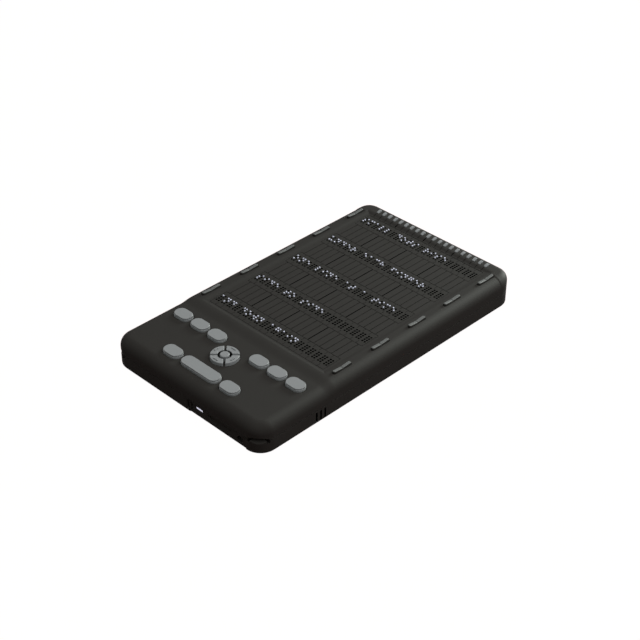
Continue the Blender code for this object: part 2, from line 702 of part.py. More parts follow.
def braille_cap(line):
    """The cap strip over one line of cells, with a hole for each raised dot."""
    flange_z = RAIL_Z - WALL - CLEARANCE - CAP_FLANGE_THICKNESS
    depth = DECK_Z - flange_z
    bm = bmesh.new()
    slab(bm, (FIELD_WIDTH + 2 * CAP_FLANGE, CAP_DEPTH + 2 * CAP_FLANGE, CAP_FLANGE_THICKNESS),
         (0, 0, -depth), CAP_CORNER + CAP_FLANGE, SMALL_SEGMENTS)
    raise_top(bm, CAP_FLANGE, 0)
    raise_top(bm, 0, depth - CAP_FLANGE_THICKNESS)
    cap = add_part(f"braille_cap_{line + 1}", bm, "cap_plastic", (0, line_y(line), DECK_Z))
    hollow = bmesh.new()
    height = depth - CAP_PLATE + OVERRUN
    block(hollow, (FIELD_WIDTH - 2 * CAP_WALL, CAP_DEPTH - 2 * CAP_WALL, height),
          (0, 0, -depth - OVERRUN))
    combine(cap, add_cutter(f"cap_hollow_{line + 1}", hollow, (0, line_y(line), DECK_Z)))
    holes = bmesh.new()
    for x, y in dot_places(line):
        side = PIN_DIAMETER + 2 * PIN_CLEARANCE
        block(holes, (side, side, 2 * (CAP_PLATE + OVERRUN)), (x, y - line_y(line), -CAP_PLATE - OVERRUN))
    combine(cap, add_cutter(f"dot_holes_{line + 1}", holes, (0, line_y(line), DECK_Z)))


def dot_comb(line):
    """The raised dots of one line on the bar that carries them, free to drop into the cap."""
    bar_top = -CAP_PLATE - CLEARANCE
    margin = CAP_WALL + CLEARANCE
    bm = bmesh.new()
    block(bm, (FIELD_WIDTH - 2 * margin, CAP_DEPTH - 2 * margin, COMB_THICKNESS),
          (0, 0, bar_top - COMB_THICKNESS))
    comb = add_part(f"dot_comb_{line + 1}", bm, "dot_plastic", (0, line_y(line), DECK_Z))
    root = bar_top - COMB_THICKNESS / 2
    pins = bmesh.new()
    for x, y in dot_places(line):
        cylinder(pins, PIN_DIAMETER / 2, PIN_RISE - root, (x, y - line_y(line), (PIN_RISE + root) / 2),
                 sides=PIN_SIDES, tip_radius=PIN_TIP_DIAMETER / 2)
    combine(comb, add_cutter(f"dot_pins_{line + 1}", pins, (0, line_y(line), DECK_Z)), "UNION")


def key(name, length, x, y):
    """A keyboard key: a rounded top over a sloping skirt, on a flange caught under the top shell."""
    flange_top = -WALL - CLEARANCE
    bm = bmesh.new()
    slab(bm, (length + 2 * KEY_FLANGE, KEY_DEPTH + 2 * KEY_FLANGE, KEY_FLANGE_THICKNESS),
         (0, 0, flange_top - KEY_FLANGE_THICKNESS), KEY_CORNER + KEY_FLANGE, KEY_SEGMENTS)
    raise_top(bm, KEY_FLANGE, 0)
    raise_top(bm, 0, KEY_SKIRT_BASE - flange_top)
    raise_top(bm, KEY_TOP_INSET, KEY_SKIRT_RISE)
    raise_top(bm, 0, KEY_RISE - KEY_TOP_RADIUS - KEY_SKIRT_BASE - KEY_SKIRT_RISE)
    round_top(bm, KEY_TOP_RADIUS, 1)
    add_part(name, bm, "key_plastic", (x, y, KEYPAD_Z))


def keyboard():
    for dot, x in dot_key_places():
        key(f"dot_key_{dot}", KEY_LENGTH, x, DOT_ROW_Y)
    key("dot_key_7", THUMB_KEY_LENGTH, -thumb_key_x(), THUMB_ROW_Y)
    key("dot_key_8", THUMB_KEY_LENGTH, thumb_key_x(), THUMB_ROW_Y)
    key("space_bar", SPACE_BAR_LENGTH, 0, THUMB_ROW_Y)


def arrow_key(name, turn):
    """One quarter of the arrow pad, with a slit to each neighbour and a bore for the select key."""
    flange_top = -WALL - CLEARANCE
    bm = bmesh.new()
    radius = NAV_RADIUS + KEY_FLANGE
    cylinder(bm, radius, KEY_FLANGE_THICKNESS, (0, 0, flange_top - KEY_FLANGE_THICKNESS / 2))
    raise_top(bm, KEY_FLANGE, 0)
    raise_top(bm, 0, NAV_RISE - NAV_EDGE - flange_top)
    round_top(bm, NAV_EDGE, SMALL_SEGMENTS)
    quarter = add_part(name, bm, "key_plastic", (0, NAV_Y, KEYPAD_Z), turn)
    height = 2 * (NAV_RISE + WALL + KEY_FLANGE_THICKNESS + OVERRUN)
    bore = bmesh.new()
    cylinder(bore, NAV_BORE_RADIUS, height, (0, 0, 0))
    combine(quarter, add_cutter(f"{name}_bore", bore, (0, NAV_Y, KEYPAD_Z), turn))
    for side, angle in (("first", math.pi / 4), ("second", -math.pi / 4)):
        waste = bmesh.new()
        block(waste, (4 * radius, 2 * radius, height), (0, -radius + NAV_SLIT / 2, -height / 2))
        combine(quarter, add_cutter(f"{name}_{side}_side", waste, (0, NAV_Y, KEYPAD_Z), turn + angle))


def select_key():
    """The round key in the middle of the arrow pad, domed on top and guided in the pad's bore."""
    flange_top = -WALL - CLEARANCE
    radius = NAV_BORE_RADIUS - CLEARANCE
    bm = bmesh.new()
    cylinder(bm, radius, KEY_FLANGE_THICKNESS, (0, 0, flange_top - KEY_FLANGE_THICKNESS / 2))
    raise_top(bm, radius - SELECT_RADIUS, 0)
    raise_top(bm, 0, SELECT_RISE - SELECT_DOME - flange_top)
    round_top(bm, SELECT_DOME, SMALL_SEGMENTS)
    add_part("select_key", bm, "key_plastic", (0, NAV_Y, KEYPAD_Z))


def rocker(side, line, x, y):
    """A panning rocker: a bar, lower in the middle, that tilts on a cross pin under the rail."""
    pin_z = -WALL - ROCKER_PIN_GAP - ROCKER_PIN_RADIUS
    bottom = pin_z - ROCKER_DEPTH
    bm = bmesh.new()
    slab(bm, (ROCKER_WIDTH, ROCKER_LENGTH, ROCKER_RISE - ROCKER_EDGE - bottom), (0, 0, bottom - pin_z),
         ROCKER_CORNER, SMALL_SEGMENTS)
    round_top(bm, ROCKER_EDGE, 1)
    bmesh.ops.bisect_plane(bm, geom=bm.verts[:] + bm.edges[:] + bm.faces[:], plane_co=(0, 0, 0),
                           plane_no=(0, 1, 0))
    for vert in bm.verts:
        if vert.co.z > 0:
            vert.co.z -= ROCKER_DIP * (1 - abs(vert.co.y) / (ROCKER_LENGTH / 2))
    name = f"panning_rocker_{side}_{line + 1}"
    body = add_part(name, bm, "rocker_plastic", (x, y, RAIL_Z + pin_z))
    pin = bmesh.new()
    cylinder(pin, ROCKER_PIN_RADIUS, ROCKER_PIN_LENGTH, (0, 0, 0), "X", ROUND_SIDES // 3)
    combine(body, add_cutter(f"{name}_pin", pin, (x, y, RAIL_Z + pin_z)), "UNION")


def routing_key(cell):
    """A small key on the rear land over one column of cells."""
    flange_top = -WALL - CLEARANCE
    bm = bmesh.new()
    block(bm, (ROUTING_WIDTH + 2 * ROUTING_FLANGE, ROUTING_LENGTH + 2 * ROUTING_FLANGE,
               ROUTING_FLANGE_THICKNESS), (0, 0, flange_top - ROUTING_FLANGE_THICKNESS))
    raise_top(bm, ROUTING_FLANGE, 0)
    raise_top(bm, 0, ROUTING_RISE - ROUTING_EDGE - flange_top)
    round_top(bm, ROUTING_EDGE, 1)
    add_part(f"routing_key_{cell + 1}", bm, "rocker_plastic", (cell_x(cell), routing_y(), LAND_Z))


def power_switch():
    """The power slider in the front edge: a thumb piece in mid-travel and the plate that holds it in."""
    front = FRONT_Y
    plate_y = FRONT_Y + WALL + CLEARANCE
    width = SWITCH_WIDTH + SWITCH_TRAVEL + 2 * SWITCH_FLANGE
    height = SWITCH_HEIGHT + 2 * SWITCH_FLANGE
    bm = bmesh.new()
    thumb = block(bm, (SWITCH_WIDTH, plate_y - front + SWITCH_FLANGE_THICKNESS / 2, SWITCH_HEIGHT),
                  (0, 0, -SWITCH_HEIGHT / 2))
    bmesh.ops.translate(bm, vec=(0, (plate_y - front + SWITCH_FLANGE_THICKNESS / 2) / 2, 0), verts=thumb)
    lead = [edge for edge in bm.edges if max(vert.co.y for vert in edge.verts) < SWITCH_EDGE]
    bmesh.ops.bevel(bm, geom=lead, offset=SWITCH_EDGE, offset_type="OFFSET", segments=1, profile=0.5,
                    affect="EDGES")
    slider = add_part("power_switch", bm, "black_plastic", (SWITCH_X, front, switch_z()))
    plate = bmesh.new()
    block(plate, (width, SWITCH_FLANGE_THICKNESS, height),
          (0, plate_y - front + SWITCH_FLANGE_THICKNESS / 2, -height / 2))
    combine(slider, add_cutter("power_switch_plate", plate, (SWITCH_X, front, switch_z())), "UNION")


def main_board():
    """The main board with its sockets and card reader at the front edge."""
    width = MAIN_BOARD_RIGHT_X - MAIN_BOARD_LEFT_X
    middle_x = (MAIN_BOARD_LEFT_X + MAIN_BOARD_RIGHT_X) / 2
    bm = bmesh.new()
    block(bm, (width, MAIN_BOARD_LENGTH, MAIN_BOARD_THICKNESS),
          (middle_x, board_front_y() + MAIN_BOARD_LENGTH / 2, board_top_z() - MAIN_BOARD_THICKNESS))
    board = add_part("main_board", bm, "board_green")
    combine(board, sockets(), "UNION")
    combine(board, socket_bores())


def sockets():
    socket_y = FRONT_Y + RECESS_DEPTH + USB_SETBACK
    seat = MAIN_BOARD_THICKNESS / 2
    bm = bmesh.new()
    block(bm, (USB_WIDTH, USB_DEPTH, USB_HEIGHT),
          (USB_X, socket_y + USB_DEPTH / 2, usb_z() - USB_HEIGHT / 2))
    reader_y = FRONT_Y + WALL + CLEARANCE
    block(bm, (CARD_READER_WIDTH, CARD_READER_LENGTH, CARD_READER_HEIGHT + seat),
          (CARD_X, reader_y + CARD_READER_LENGTH / 2, board_top_z() - seat))
    cylinder(bm, JACK_RADIUS - CLEARANCE, JACK_DEPTH, (JACK_X, socket_y + JACK_DEPTH / 2, jack_z()), "Y")
    return add_cutter("sockets", bm)


def socket_bores():
    socket_y = FRONT_Y + RECESS_DEPTH + USB_SETBACK
    bm = bmesh.new()
    depth = USB_DEPTH - USB_WALL + OVERRUN
    block(bm, (USB_WIDTH - 2 * USB_WALL, depth, USB_HEIGHT - 2 * USB_WALL),
          (USB_X, socket_y - OVERRUN + depth / 2, usb_z() - USB_HEIGHT / 2 + USB_WALL))
    depth = JACK_BORE_DEPTH + OVERRUN
    cylinder(bm, JACK_BORE_RADIUS, depth, (JACK_X, socket_y - OVERRUN + depth / 2, jack_z()), "Y",
             ROUND_SIDES // 2)
    return add_cutter("socket_bores", bm)


def keypad_board():
    """The board that the keyboard's keys press on, fixed to the posts of the top shell."""
    rear_y = KEYPAD_REAR_Y + 2 * POST_INSET_Y
    front_y = THUMB_ROW_Y - KEY_DEPTH / 2
    bm = bmesh.new()
    block(bm, (keypad_board_width(), rear_y - front_y, KEYPAD_BOARD_THICKNESS),
          (0, (rear_y + front_y) / 2, keypad_board_z() - KEYPAD_BOARD_THICKNESS))
    add_part("keypad_board", bm, "board_green")


def battery_pack():
    floor_z = UNDERSIDE_Z + FLOOR + CLEARANCE
    bm = bmesh.new()
    slab(bm, (BATTERY_WIDTH, BATTERY_LENGTH, BATTERY_HEIGHT - BATTERY_EDGE), (0, 0, floor_z),
         BATTERY_CORNER, SMALL_SEGMENTS)
    round_top(bm, BATTERY_EDGE, 1)
    add_part("battery_pack", bm, "battery_wrap", (0, line_y(LINES // 2), 0))


def build():
    clear_scene()
    finish("charcoal_plastic", (0.041, 0.041, 0.036), 0.55)
    finish("cap_plastic", (0.036, 0.036, 0.032), 0.5)
    finish("dot_plastic", (0.62, 0.64, 0.80), 0.35)
    finish("key_plastic", (0.26, 0.27, 0.26), 0.45)
    finish("rocker_plastic", (0.19, 0.20, 0.19), 0.45)
    finish("black_plastic", (0.012, 0.012, 0.012), 0.4)
    finish("board_green", (0.02, 0.10, 0.05), 0.5)
    finish("battery_wrap", (0.02, 0.05, 0.16), 0.4)
    upper_housing()
    lower_housing()
    for line in range(LINES):
        braille_cap(line)
        dot_comb(line)
    keyboard()
    for name, quarters in (("arrow_up", 0), ("arrow_left", 1), ("arrow_down", 2), ("arrow_right", 3)):
        arrow_key(name, quarters * math.pi / 2)
    select_key()
    for side, line, x, y in rocker_places():
        rocker(side, line, x, y)
    for cell in range(CELLS):
        routing_key(cell)
    power_switch()
    main_board()
    keypad_board()
    battery_pack()


build()
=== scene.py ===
"""Looks of the braille notetaker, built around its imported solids.

Metres, +Z up, in the frame of the solids: the reader sits at -Y and the case stands on z = 0.
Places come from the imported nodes; the named sizes below are what only the looks need.
"""

import math

import bmesh
import bpy
from mathutils import Matrix, Vector


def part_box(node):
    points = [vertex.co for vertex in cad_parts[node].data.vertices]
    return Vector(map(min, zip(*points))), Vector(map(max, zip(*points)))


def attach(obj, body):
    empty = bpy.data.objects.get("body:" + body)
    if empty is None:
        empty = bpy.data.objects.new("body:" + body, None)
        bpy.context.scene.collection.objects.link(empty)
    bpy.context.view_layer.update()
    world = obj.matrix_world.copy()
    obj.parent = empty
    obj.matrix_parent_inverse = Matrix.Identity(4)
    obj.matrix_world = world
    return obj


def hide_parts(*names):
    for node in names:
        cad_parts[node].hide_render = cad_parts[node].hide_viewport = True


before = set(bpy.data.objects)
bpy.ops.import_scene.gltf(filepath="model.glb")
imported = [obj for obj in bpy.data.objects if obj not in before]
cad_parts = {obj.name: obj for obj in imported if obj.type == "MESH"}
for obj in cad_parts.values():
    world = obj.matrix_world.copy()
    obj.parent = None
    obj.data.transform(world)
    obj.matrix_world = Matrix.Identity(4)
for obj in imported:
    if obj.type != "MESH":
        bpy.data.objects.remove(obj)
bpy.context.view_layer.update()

# Braille display
LINES = 5
CELLS = 20
DOT_PITCH = 0.0025
CELL_PITCH = 0.00652
HOLE_RADIUS = 0.00098
HOLE_CHAMFER = 0.00005
TILE_STEPS = 4
PIN_RADIUS = 0.0007
PIN_SHOULDER = 0.00022
PIN_DOME_STEPS = 5
CAP_DEPTH = 0.0187
CAP_PLATE = 0.001
CAP_WALL = 0.0006
CAP_EDGE = 0.00018
CAP_EDGE_SHARE = 0.3
CAP_GAP = 0.00036
COMB_THICKNESS = 0.0012
TICK_SIZE = (0.00045, 0.0007)
TICK_FROM_DOTS = 0.0006
LETTER_DOTS = {
    "a": "1", "b": "12", "c": "14", "d": "145", "e": "15", "f": "124", "g": "1245", "h": "125", "i": "24",
    "j": "245", "k": "13", "l": "123", "m": "134", "n": "1345", "o": "135", "p": "1234", "q": "12345",
    "r": "1235", "s": "234", "t": "2345", "u": "136", "v": "1236", "w": "2456", "x": "1346", "y": "13456",
    "z": "1356", " ": "",
}
TEXT_LINES = ("small dots rise", "under each finger", "one line at a time", "side to side", "and down again")

# Case
CORNER_RADIUS = 0.015
TOP_EDGE_RADIUS = 0.0093
REAR_EDGE_RADIUS = 0.006
BOTTOM_EDGE_RADIUS = 0.0022
WALL = 0.0022
FLOOR = 0.0022
FOOT_HEIGHT = 0.0006
LOWER_HEIGHT = 0.01265
DECK_OVER_SEAM = 0.01435
SEAM_GAP = 0.0004
SEAM_LIP = 0.0006
TONGUE_HEIGHT = 0.0018
TONGUE_THICKNESS = 0.0009
CORNER_STEPS = 20
EDGE_STEPS = 14
SMALL_STEPS = 4
RIM = 0.00022
RIM_END_ANGLE = 82.0
OVERRUN = 0.001
GAP = 0.0003

# Relief of the top, heights against the deck of the braille lines
RAIL_SLOPE_RUN = 0.0056
RAIL_RISE = 0.0009
FRONT_SLOPE_RUN = 0.0045
RIDGE_LAND = 0.0005
DECK_END_MARGIN = 0.0004
DECK_SIDE_MARGIN = 0.0008
KEYPAD_SLOPE_RUN = 0.0116
KEYPAD_DROP = 0.0005
REAR_SLOPE_RUN = 0.0056
REAR_RISE = 0.00135
SLOPE_STEPS = 8
GROOVE_SIZE = (0.0007, 0.00095)
WIDE_GROOVE_SIZE = (0.00095, 0.00115)
GROOVE_FLOOR_SHARE = 0.6
GROOVES_PER_GROUP = 5
REAR_GROOVE_SHARES = (1 / 8, 7 / 8)

# Keys
KEY_FLANGE = 0.00125
KEY_CLEARANCE = 0.0003
KEY_CORNER = 0.0056
KEY_RISE = 0.0027
KEY_SKIRT_BASE = 0.0002
KEY_SKIRT_TOP = 0.00135
KEY_SKIRT_SLOPE = 0.0001
KEY_NECK = 0.00055
KEY_CROWN_INSET = 0.00038
KEY_CROWN_BASE = 0.00175
KEY_BEAD = 0.00045
KEY_STEPS = 8
NAV_RADIUS = 0.0118
NAV_BORE_RADIUS = 0.0056
NAV_SLIT = 0.0015
NAV_RISE = 0.0027
NAV_BEAD = 0.0005
NAV_SLOPE = 0.00018
NAV_CORNER = 0.0007
NAV_CORNER_ANGLE = 40.0
NAV_DASH_LENGTH = 0.005
NAV_DASH_WIDTH = 0.0011
NAV_DASH_CORNER = NAV_DASH_WIDTH / 2.1
NAV_DASH_RISE = 0.0009
NAV_DASH_RADIUS = 0.0094
NAV_RIB_CLEARANCE = 0.0002
SELECT_RADIUS = 0.0039
SELECT_RISE = 0.0033
SELECT_EDGE = 0.001
ROUND_STEPS = 12

# Rockers and routing keys
ROCKER_WIDTH = 0.0034
ROCKER_SLOPE = 0.00035
ROCKER_LENGTH = 0.0191
ROCKER_RISE = 0.0019
ROCKER_DIP = 0.0007
ROCKER_CORNER = 0.0013
ROCKER_EDGE = 0.00045
ROCKER_GROOVE = 0.0009
ROCKER_GROOVE_DEPTH = 0.0006
ROCKER_END_GAP = 0.00045
ROUTING_WIDTH = 0.0027
ROUTING_LENGTH = 0.0046
ROUTING_SHIFT = 0.00035
ROUTING_RISE = 0.0012
ROUTING_CORNER = 0.0005
ROUTING_EDGE = 0.00035
ROUTING_BEND_SHARE = 0.62
ROUTING_BEND_DROP = 0.0011
ROUTING_BEND_POWER = 1.5

# Front edge
RECESS_LEFT_X = 0.004
RECESS_RIGHT_X = 0.07
RECESS_RAMP = 0.003
RECESS_DEPTH = 0.0007
RECESS_BELOW_SEAM = 0.001
SWITCH_X = 0.007
SWITCH_SLOT = 0.0064
SWITCH_WIDTH = 0.0017
SWITCH_HEIGHT = 0.0066
SWITCH_EDGE = 0.0004
SWITCH_RECESS = 0.001
SWITCH_SLIT_LENGTH = 0.0058
SWITCH_SLIT_HEIGHT = 0.0009
SWITCH_STEM_WIDTH = 0.0012
SWITCH_STEM_HEIGHT = 0.0006
SWITCH_STEM_DEPTH = 0.003
USB_X = 0.0172
USB_WIDTH = 0.0089
USB_HEIGHT = 0.0033
USB_DEPTH = 0.0074
USB_LINING_WIDTH = 0.0076
USB_LINING_HEIGHT = 0.0021
USB_LINING_SETBACK = 0.00025
USB_TONGUE_WIDTH = 0.0058
USB_TONGUE_HEIGHT = 0.0005
USB_BELOW_SEAM = 0.0046
USB_SETBACK = 0.0003
CARD_X = 0.041
CARD_SCOOP_WIDTH = 0.028
CARD_SCOOP_HEIGHT = 0.006
CARD_SCOOP_DEPTH = 0.0013
CARD_SCOOP_FOOT = 0.0001
CARD_SLOT_WIDTH = 0.0246
CARD_SLOT_HEIGHT = 0.001
CARD_BELOW_SEAM = 0.0036
BOARD_SETBACK = 0.0058
BOARD_THICKNESS = 0.0016
CHIPS = 6
CHIP_COLUMNS = 3
CHIP_SIZES = (0.0044, 0.006)
CHIP_HEIGHT = 0.0011
CHIP_MARGIN = 0.006
CHIP_ROW_PITCH = 0.012
READER_WIDTH = 0.026
READER_LENGTH = 0.02
READER_HEIGHT = 0.0028
JACK_X = 0.063
JACK_RADIUS = 0.003
JACK_SLEEVE_RADIUS = 0.0036
JACK_BORE_RADIUS = 0.0027
JACK_THROAT_RADIUS = 0.00175
JACK_BELOW_SEAM = 0.0067
JACK_DEPTH = 0.012
JACK_BORE_DEPTH = 0.006
JACK_THROAT_DEPTH = 0.01
LANYARD_DEPTH = 0.00297
LANYARD_REACH = 0.012
LANYARD_TURN = 5.5
LANYARD_HOLE_START = (0.0043, -0.012)
LANYARD_HOLE_ANGLE = -32.5
LANYARD_HOLE_INSIDE = 0.0006
LANYARD_HOLE_OUTSIDE = 0.007
LANYARD_HOLE_WIDTH = 0.0022
LANYARD_HOLE_HEIGHT = 0.0034
LANYARD_UPPER_SLOPE = 0.82
VENT_COUNT = 3
VENT_WIDTH = 0.0019
VENT_HEIGHT = 0.0085
VENT_PITCH = 0.00455
VENT_DEPTH = 0.0014
VENT_FROM_KEYPAD_REAR = 0.0053
VENT_BELOW_SEAM = 0.0018

# Underside
FOOT_RADIUS = 0.006
FOOT_INSET = 0.019
SCREW_WELL_RADIUS = 0.003
SCREW_WELL_DEPTH = 0.0014
SCREW_HEAD_RADIUS = 0.0024
SCREW_HEAD_PROFILE = ((-0.0006, -0.0009), (-0.0001, -0.0007), (0, -0.0004), (0, 0.0002))
SCREW_CROSS_HALVES = (0.0014, 0.0003)
SCREW_CROSS_HEIGHTS = (-0.0012, -0.0006)
DOOR_WIDTH = 0.118
DOOR_LENGTH = 0.07
DOOR_CORNER = 0.004
DOOR_GROOVE = 0.0006
PLATE_WIDTH = 0.07
PLATE_LENGTH = 0.032
PLATE_CORNER = 0.003
PLATE_DEPTH = 0.00025

# Materials
GRAIN_DETAIL = 2.0
CLOUD_SIZE = 0.018
CLOUD_DETAIL = 3.0
NOISE_LOW = 0.3
NOISE_HIGH = 0.7
GLOSS_RANGE = 0.05
BUMP_STRENGTH = 0.6
SMOOTH_ANGLE = 35.0
FLAT_FACE_WEIGHT = 80

# Stage, light and camera
FLOOR_SIZE = 6.0
FLOOR_SHADE = (0.11, 0.02, 0.012, 1.0)
FLOOR_GLOW = 0.99
SKY_HORIZON = (0.0, 0.015, 0.015, 1.0)
SKY_ZENITH = (1.6, 1.61, 1.59, 1.0)
SKY_FALLOFF = 3.0
# Name, place, size, power and colour of each light, and whether it shows in reflections only
LIGHTS = (
    ("side", (1.5, 0.5, 1.2), 0.9, 9.3, (1, 1, 1), False),
    ("rear_gloss", (0.328, 3.744, 1.368), 1.2, 3150.0, (0.93, 1.0, 0.92), True),
)
CAMERA_PLACE = (0.697059, -0.697124, 0.707934)
CAMERA_RIGHT = Vector((0.707228, 0.706985, 0.000647))
CAMERA_FORWARD = Vector((-0.5769, 0.577627, -0.577523))
CAMERA_LENS = 82.607
CAMERA_SENSOR = 36.0
CAMERA_CLIP = (0.01, 20)

# Nodes, and places worked out from them and from the sizes
ROCKER_NODES = [f"panning_rocker_{side}_{line + 1}" for side in ("left", "right") for line in range(LINES)]
ROUTING_NODES = [f"routing_key_{cell + 1}" for cell in range(CELLS)]
HALF_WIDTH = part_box("upper_housing")[1].x
FRONT_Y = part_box("upper_housing")[0].y
REAR_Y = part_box("upper_housing")[1].y
UNDERSIDE_Z = FOOT_HEIGHT
SEAM_Z = UNDERSIDE_Z + LOWER_HEIGHT
DECK_Z = SEAM_Z + DECK_OVER_SEAM
RAIL_Z = DECK_Z + RAIL_RISE
KEYPAD_Z = DECK_Z - KEYPAD_DROP
LAND_Z = DECK_Z + REAR_RISE
FLANGE_TOP = -WALL - GAP
RECESS_Y = FRONT_Y + RECESS_DEPTH
USB_Z = SEAM_Z - USB_BELOW_SEAM
JACK_Z = SEAM_Z - JACK_BELOW_SEAM
CARD_TOP_Z = SEAM_Z - CARD_BELOW_SEAM


def middle(node):
    low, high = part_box(node)
    return (low + high) / 2


SWITCH_Z = middle("power_switch").z
LINE_YS = [middle(f"braille_cap_{line + 1}").y for line in range(LINES)]
FIELD_WIDTH = CELLS * CELL_PITCH
DECK_FRONT_Y = LINE_YS[0] - CAP_DEPTH / 2 - DECK_END_MARGIN
DECK_REAR_Y = LINE_YS[-1] + CAP_DEPTH / 2 + DECK_END_MARGIN
RIDGE_Y = DECK_FRONT_Y - FRONT_SLOPE_RUN - RIDGE_LAND
KEYPAD_REAR_Y = RIDGE_Y - KEYPAD_SLOPE_RUN
LAND_START_Y = DECK_REAR_Y + REAR_SLOPE_RUN / 3
DECK_HALF_WIDTH = FIELD_WIDTH / 2 + DECK_SIDE_MARGIN

finishes = {}


# Materials

def new_material(name):
    """A new material's nodes. The solids bring the same names, so the material is kept in finishes."""
    material = bpy.data.materials.new(name)
    material.use_nodes = True
    finishes[name] = material
    return material.node_tree


def connect(tree, socket, value):
    """Links a socket to a node's output, or sets it to a plain value."""
    if isinstance(value, bpy.types.NodeSocket):
        tree.links.new(value, socket)
    else:
        socket.default_value = value


def add_node(tree, kind, *inputs, **values):
    """A node with its settings, its first inputs in order, and others by name, spaces as underscores."""
    node = tree.nodes.new(kind)
    for key, value in values.items():
        socket = node.inputs.get(key.replace("_", " "))
        if socket is None:
            setattr(node, key, value)
        else:
            connect(tree, socket, value)
    for socket, value in zip(node.inputs, inputs):
        connect(tree, socket, value)
    return node


def calculate(tree, operation, first, second):
    return add_node(tree, "ShaderNodeMath", first, second, operation=operation).outputs["Value"]


def mix_colours(tree, share, first, second):
    return add_node(tree, "ShaderNodeMix", share, data_type="RGBA", A=first, B=second).outputs["Result"]


def grain(tree, size, detail=GRAIN_DETAIL):
    """Noise whose features are about size across, fixed to the piece."""
    place = add_node(tree, "ShaderNodeTexCoord").outputs["Object"]
    return add_node(tree, "ShaderNodeTexNoise", Vector=place, Scale=1 / size, Detail=detail).outputs["Fac"]


def vary(tree, factor, low, high):
    """The middle part of a noise's range spread over low to high."""
    return add_node(tree, "ShaderNodeMapRange", factor, NOISE_LOW, NOISE_HIGH, low, high).outputs["Result"]


def moulded(name, colour, roughness, texture_size, texture_depth, specular=0.5, mottle=0.05,
            metallic=0.0, sheen=0.0):
    """A finish with a fine surface texture and slight changes of tone and gloss."""
    tree = new_material(name)
    fine = grain(tree, texture_size)
    both = calculate(tree, "ADD", grain(tree, CLOUD_SIZE, CLOUD_DETAIL), fine)
    tone = vary(tree, calculate(tree, "MULTIPLY", both, 0.5), 0, 1)
    darker, lighter = [(*[part * share for part in colour], 1) for share in (1 - mottle, 1 + mottle)]
    bump = add_node(tree, "ShaderNodeBump", Strength=BUMP_STRENGTH, Distance=texture_depth, Height=fine)
    shader = tree.nodes["Principled BSDF"]
    for socket, value in (
            ("Metallic", metallic), ("Specular IOR Level", specular), ("Sheen Weight", sheen),
            ("Base Color", mix_colours(tree, tone, darker, lighter)),
            ("Roughness", vary(tree, fine, roughness - GLOSS_RANGE, roughness + GLOSS_RANGE)),
            ("Normal", bump.outputs["Normal"])):
        connect(tree, shader.inputs[socket], value)


def make_finishes():
    moulded("charcoal_plastic", (0.0360, 0.0335, 0.0310), 0.65, 0.00035, 0.00002, specular=0.009)
    moulded("cap_plastic", (0.0360, 0.0335, 0.0310), 0.65, 0.00025, 0.00001, specular=0.009)
    # near-black that paints the shade in wide grooves, vent slots, dot holes and under the caps
    moulded("painted_shade_black", (0.003, 0.003, 0.003), 0.6, 0.0005, 0.00001, specular=0.0)
    moulded("dot_plastic", (0.80, 0.82, 0.97), 0.55, 0.0004, 0.000006, specular=0.015, mottle=0.02)
    moulded("key_plastic", (0.298, 0.308, 0.312), 0.50, 0.00022, 0.000006, specular=0.02, mottle=0.02)
    moulded("rocker_plastic", (0.148, 0.152, 0.149), 0.50, 0.00022, 0.000006, specular=0.03, mottle=0.02)
    moulded("black_plastic", (0.006, 0.006, 0.006), 0.45, 0.0003, 0.00001, specular=0.05)
    moulded("rubber", (0.018, 0.018, 0.018), 0.75, 0.0004, 0.00003, specular=0.25, sheen=0.1)
    moulded("plated_steel", (0.62, 0.62, 0.64), 0.30, 0.0006, 0.000004, metallic=1.0)
    moulded("socket_plating", (0.74, 0.76, 0.88), 0.35, 0.0006, 0.000004, mottle=0.02, metallic=1.0)
    moulded("board_green", (0.020, 0.100, 0.050), 0.42, 0.0012, 0.00001, mottle=0.15)
    moulded("battery_wrap", (0.020, 0.050, 0.160), 0.28, 0.0020, 0.00002, mottle=0.08)


# Outlines and meshes

def spread(start, run, steps):
    """Evenly spaced numbers over a run, both ends included."""
    return [start + run * step / steps for step in range(steps + 1)]


def arc(centre, radius, start, stop, steps):
    """Points of a circular arc, both ends included; angles in degrees."""
    angles = [math.radians(angle) for angle in spread(start, stop - start, steps)]
    return [(centre[0] + radius * math.cos(angle), centre[1] + radius * math.sin(angle)) for angle in angles]


def rounded(length, depth, corner, steps=SMALL_STEPS):
    """Outline of a rectangle with rounded corners, anticlockwise from its right side."""
    x = length / 2 - corner
    y = depth / 2 - corner
    return (arc((x, y), corner, 0, 90, steps) + arc((-x, y), corner, 90, 180, steps)
            + arc((-x, -y), corner, 180, 270, steps) + arc((x, -y), corner, 270, 360, steps))


def circle(radius, steps=4 * ROUND_STEPS, centre=(0, 0)):
    return arc(centre, radius, 0, 360 * (steps - 1) / steps, steps - 1)


def grow(outline, distance):
    """The outline moved outwards by distance, corners kept."""
    moved = []
    for index, point in enumerate(outline):
        here = Vector(point)
        before = (here - Vector(outline[index - 1])).normalized()
        after = (Vector(outline[(index + 1) % len(outline)]) - here).normalized()
        first = Vector((before.y, -before.x))
        second = Vector((after.y, -after.x))
        moved.append(here + (first + second) * (distance / (1 + first.dot(second))))
    return moved


def ring(bm, outline, z):
    return [bm.verts.new((point[0], point[1], z)) for point in outline]


def front_ring(bm, outline, x, y, z):
    """A ring that faces the front: its outline in X and Z about a centre."""
    return [bm.verts.new((x + across, y, z + up)) for across, up in outline]


def bridge(bm, rings, slot=0):
    """Faces from each ring to the next."""
    for lower, upper in zip(rings, rings[1:]):
        for index in range(len(lower)):
            after = (index + 1) % len(lower)
            face = bm.faces.new((lower[index], lower[after], upper[after], upper[index]))
            face.material_index = slot


def loft(bm, rings, slot=0):
    """A closed solid through the rings. Returns its last face."""
    bridge(bm, rings, slot)
    bm.faces.new(list(reversed(rings[0]))).material_index = slot
    last = bm.faces.new(rings[-1])
    last.material_index = slot
    return last


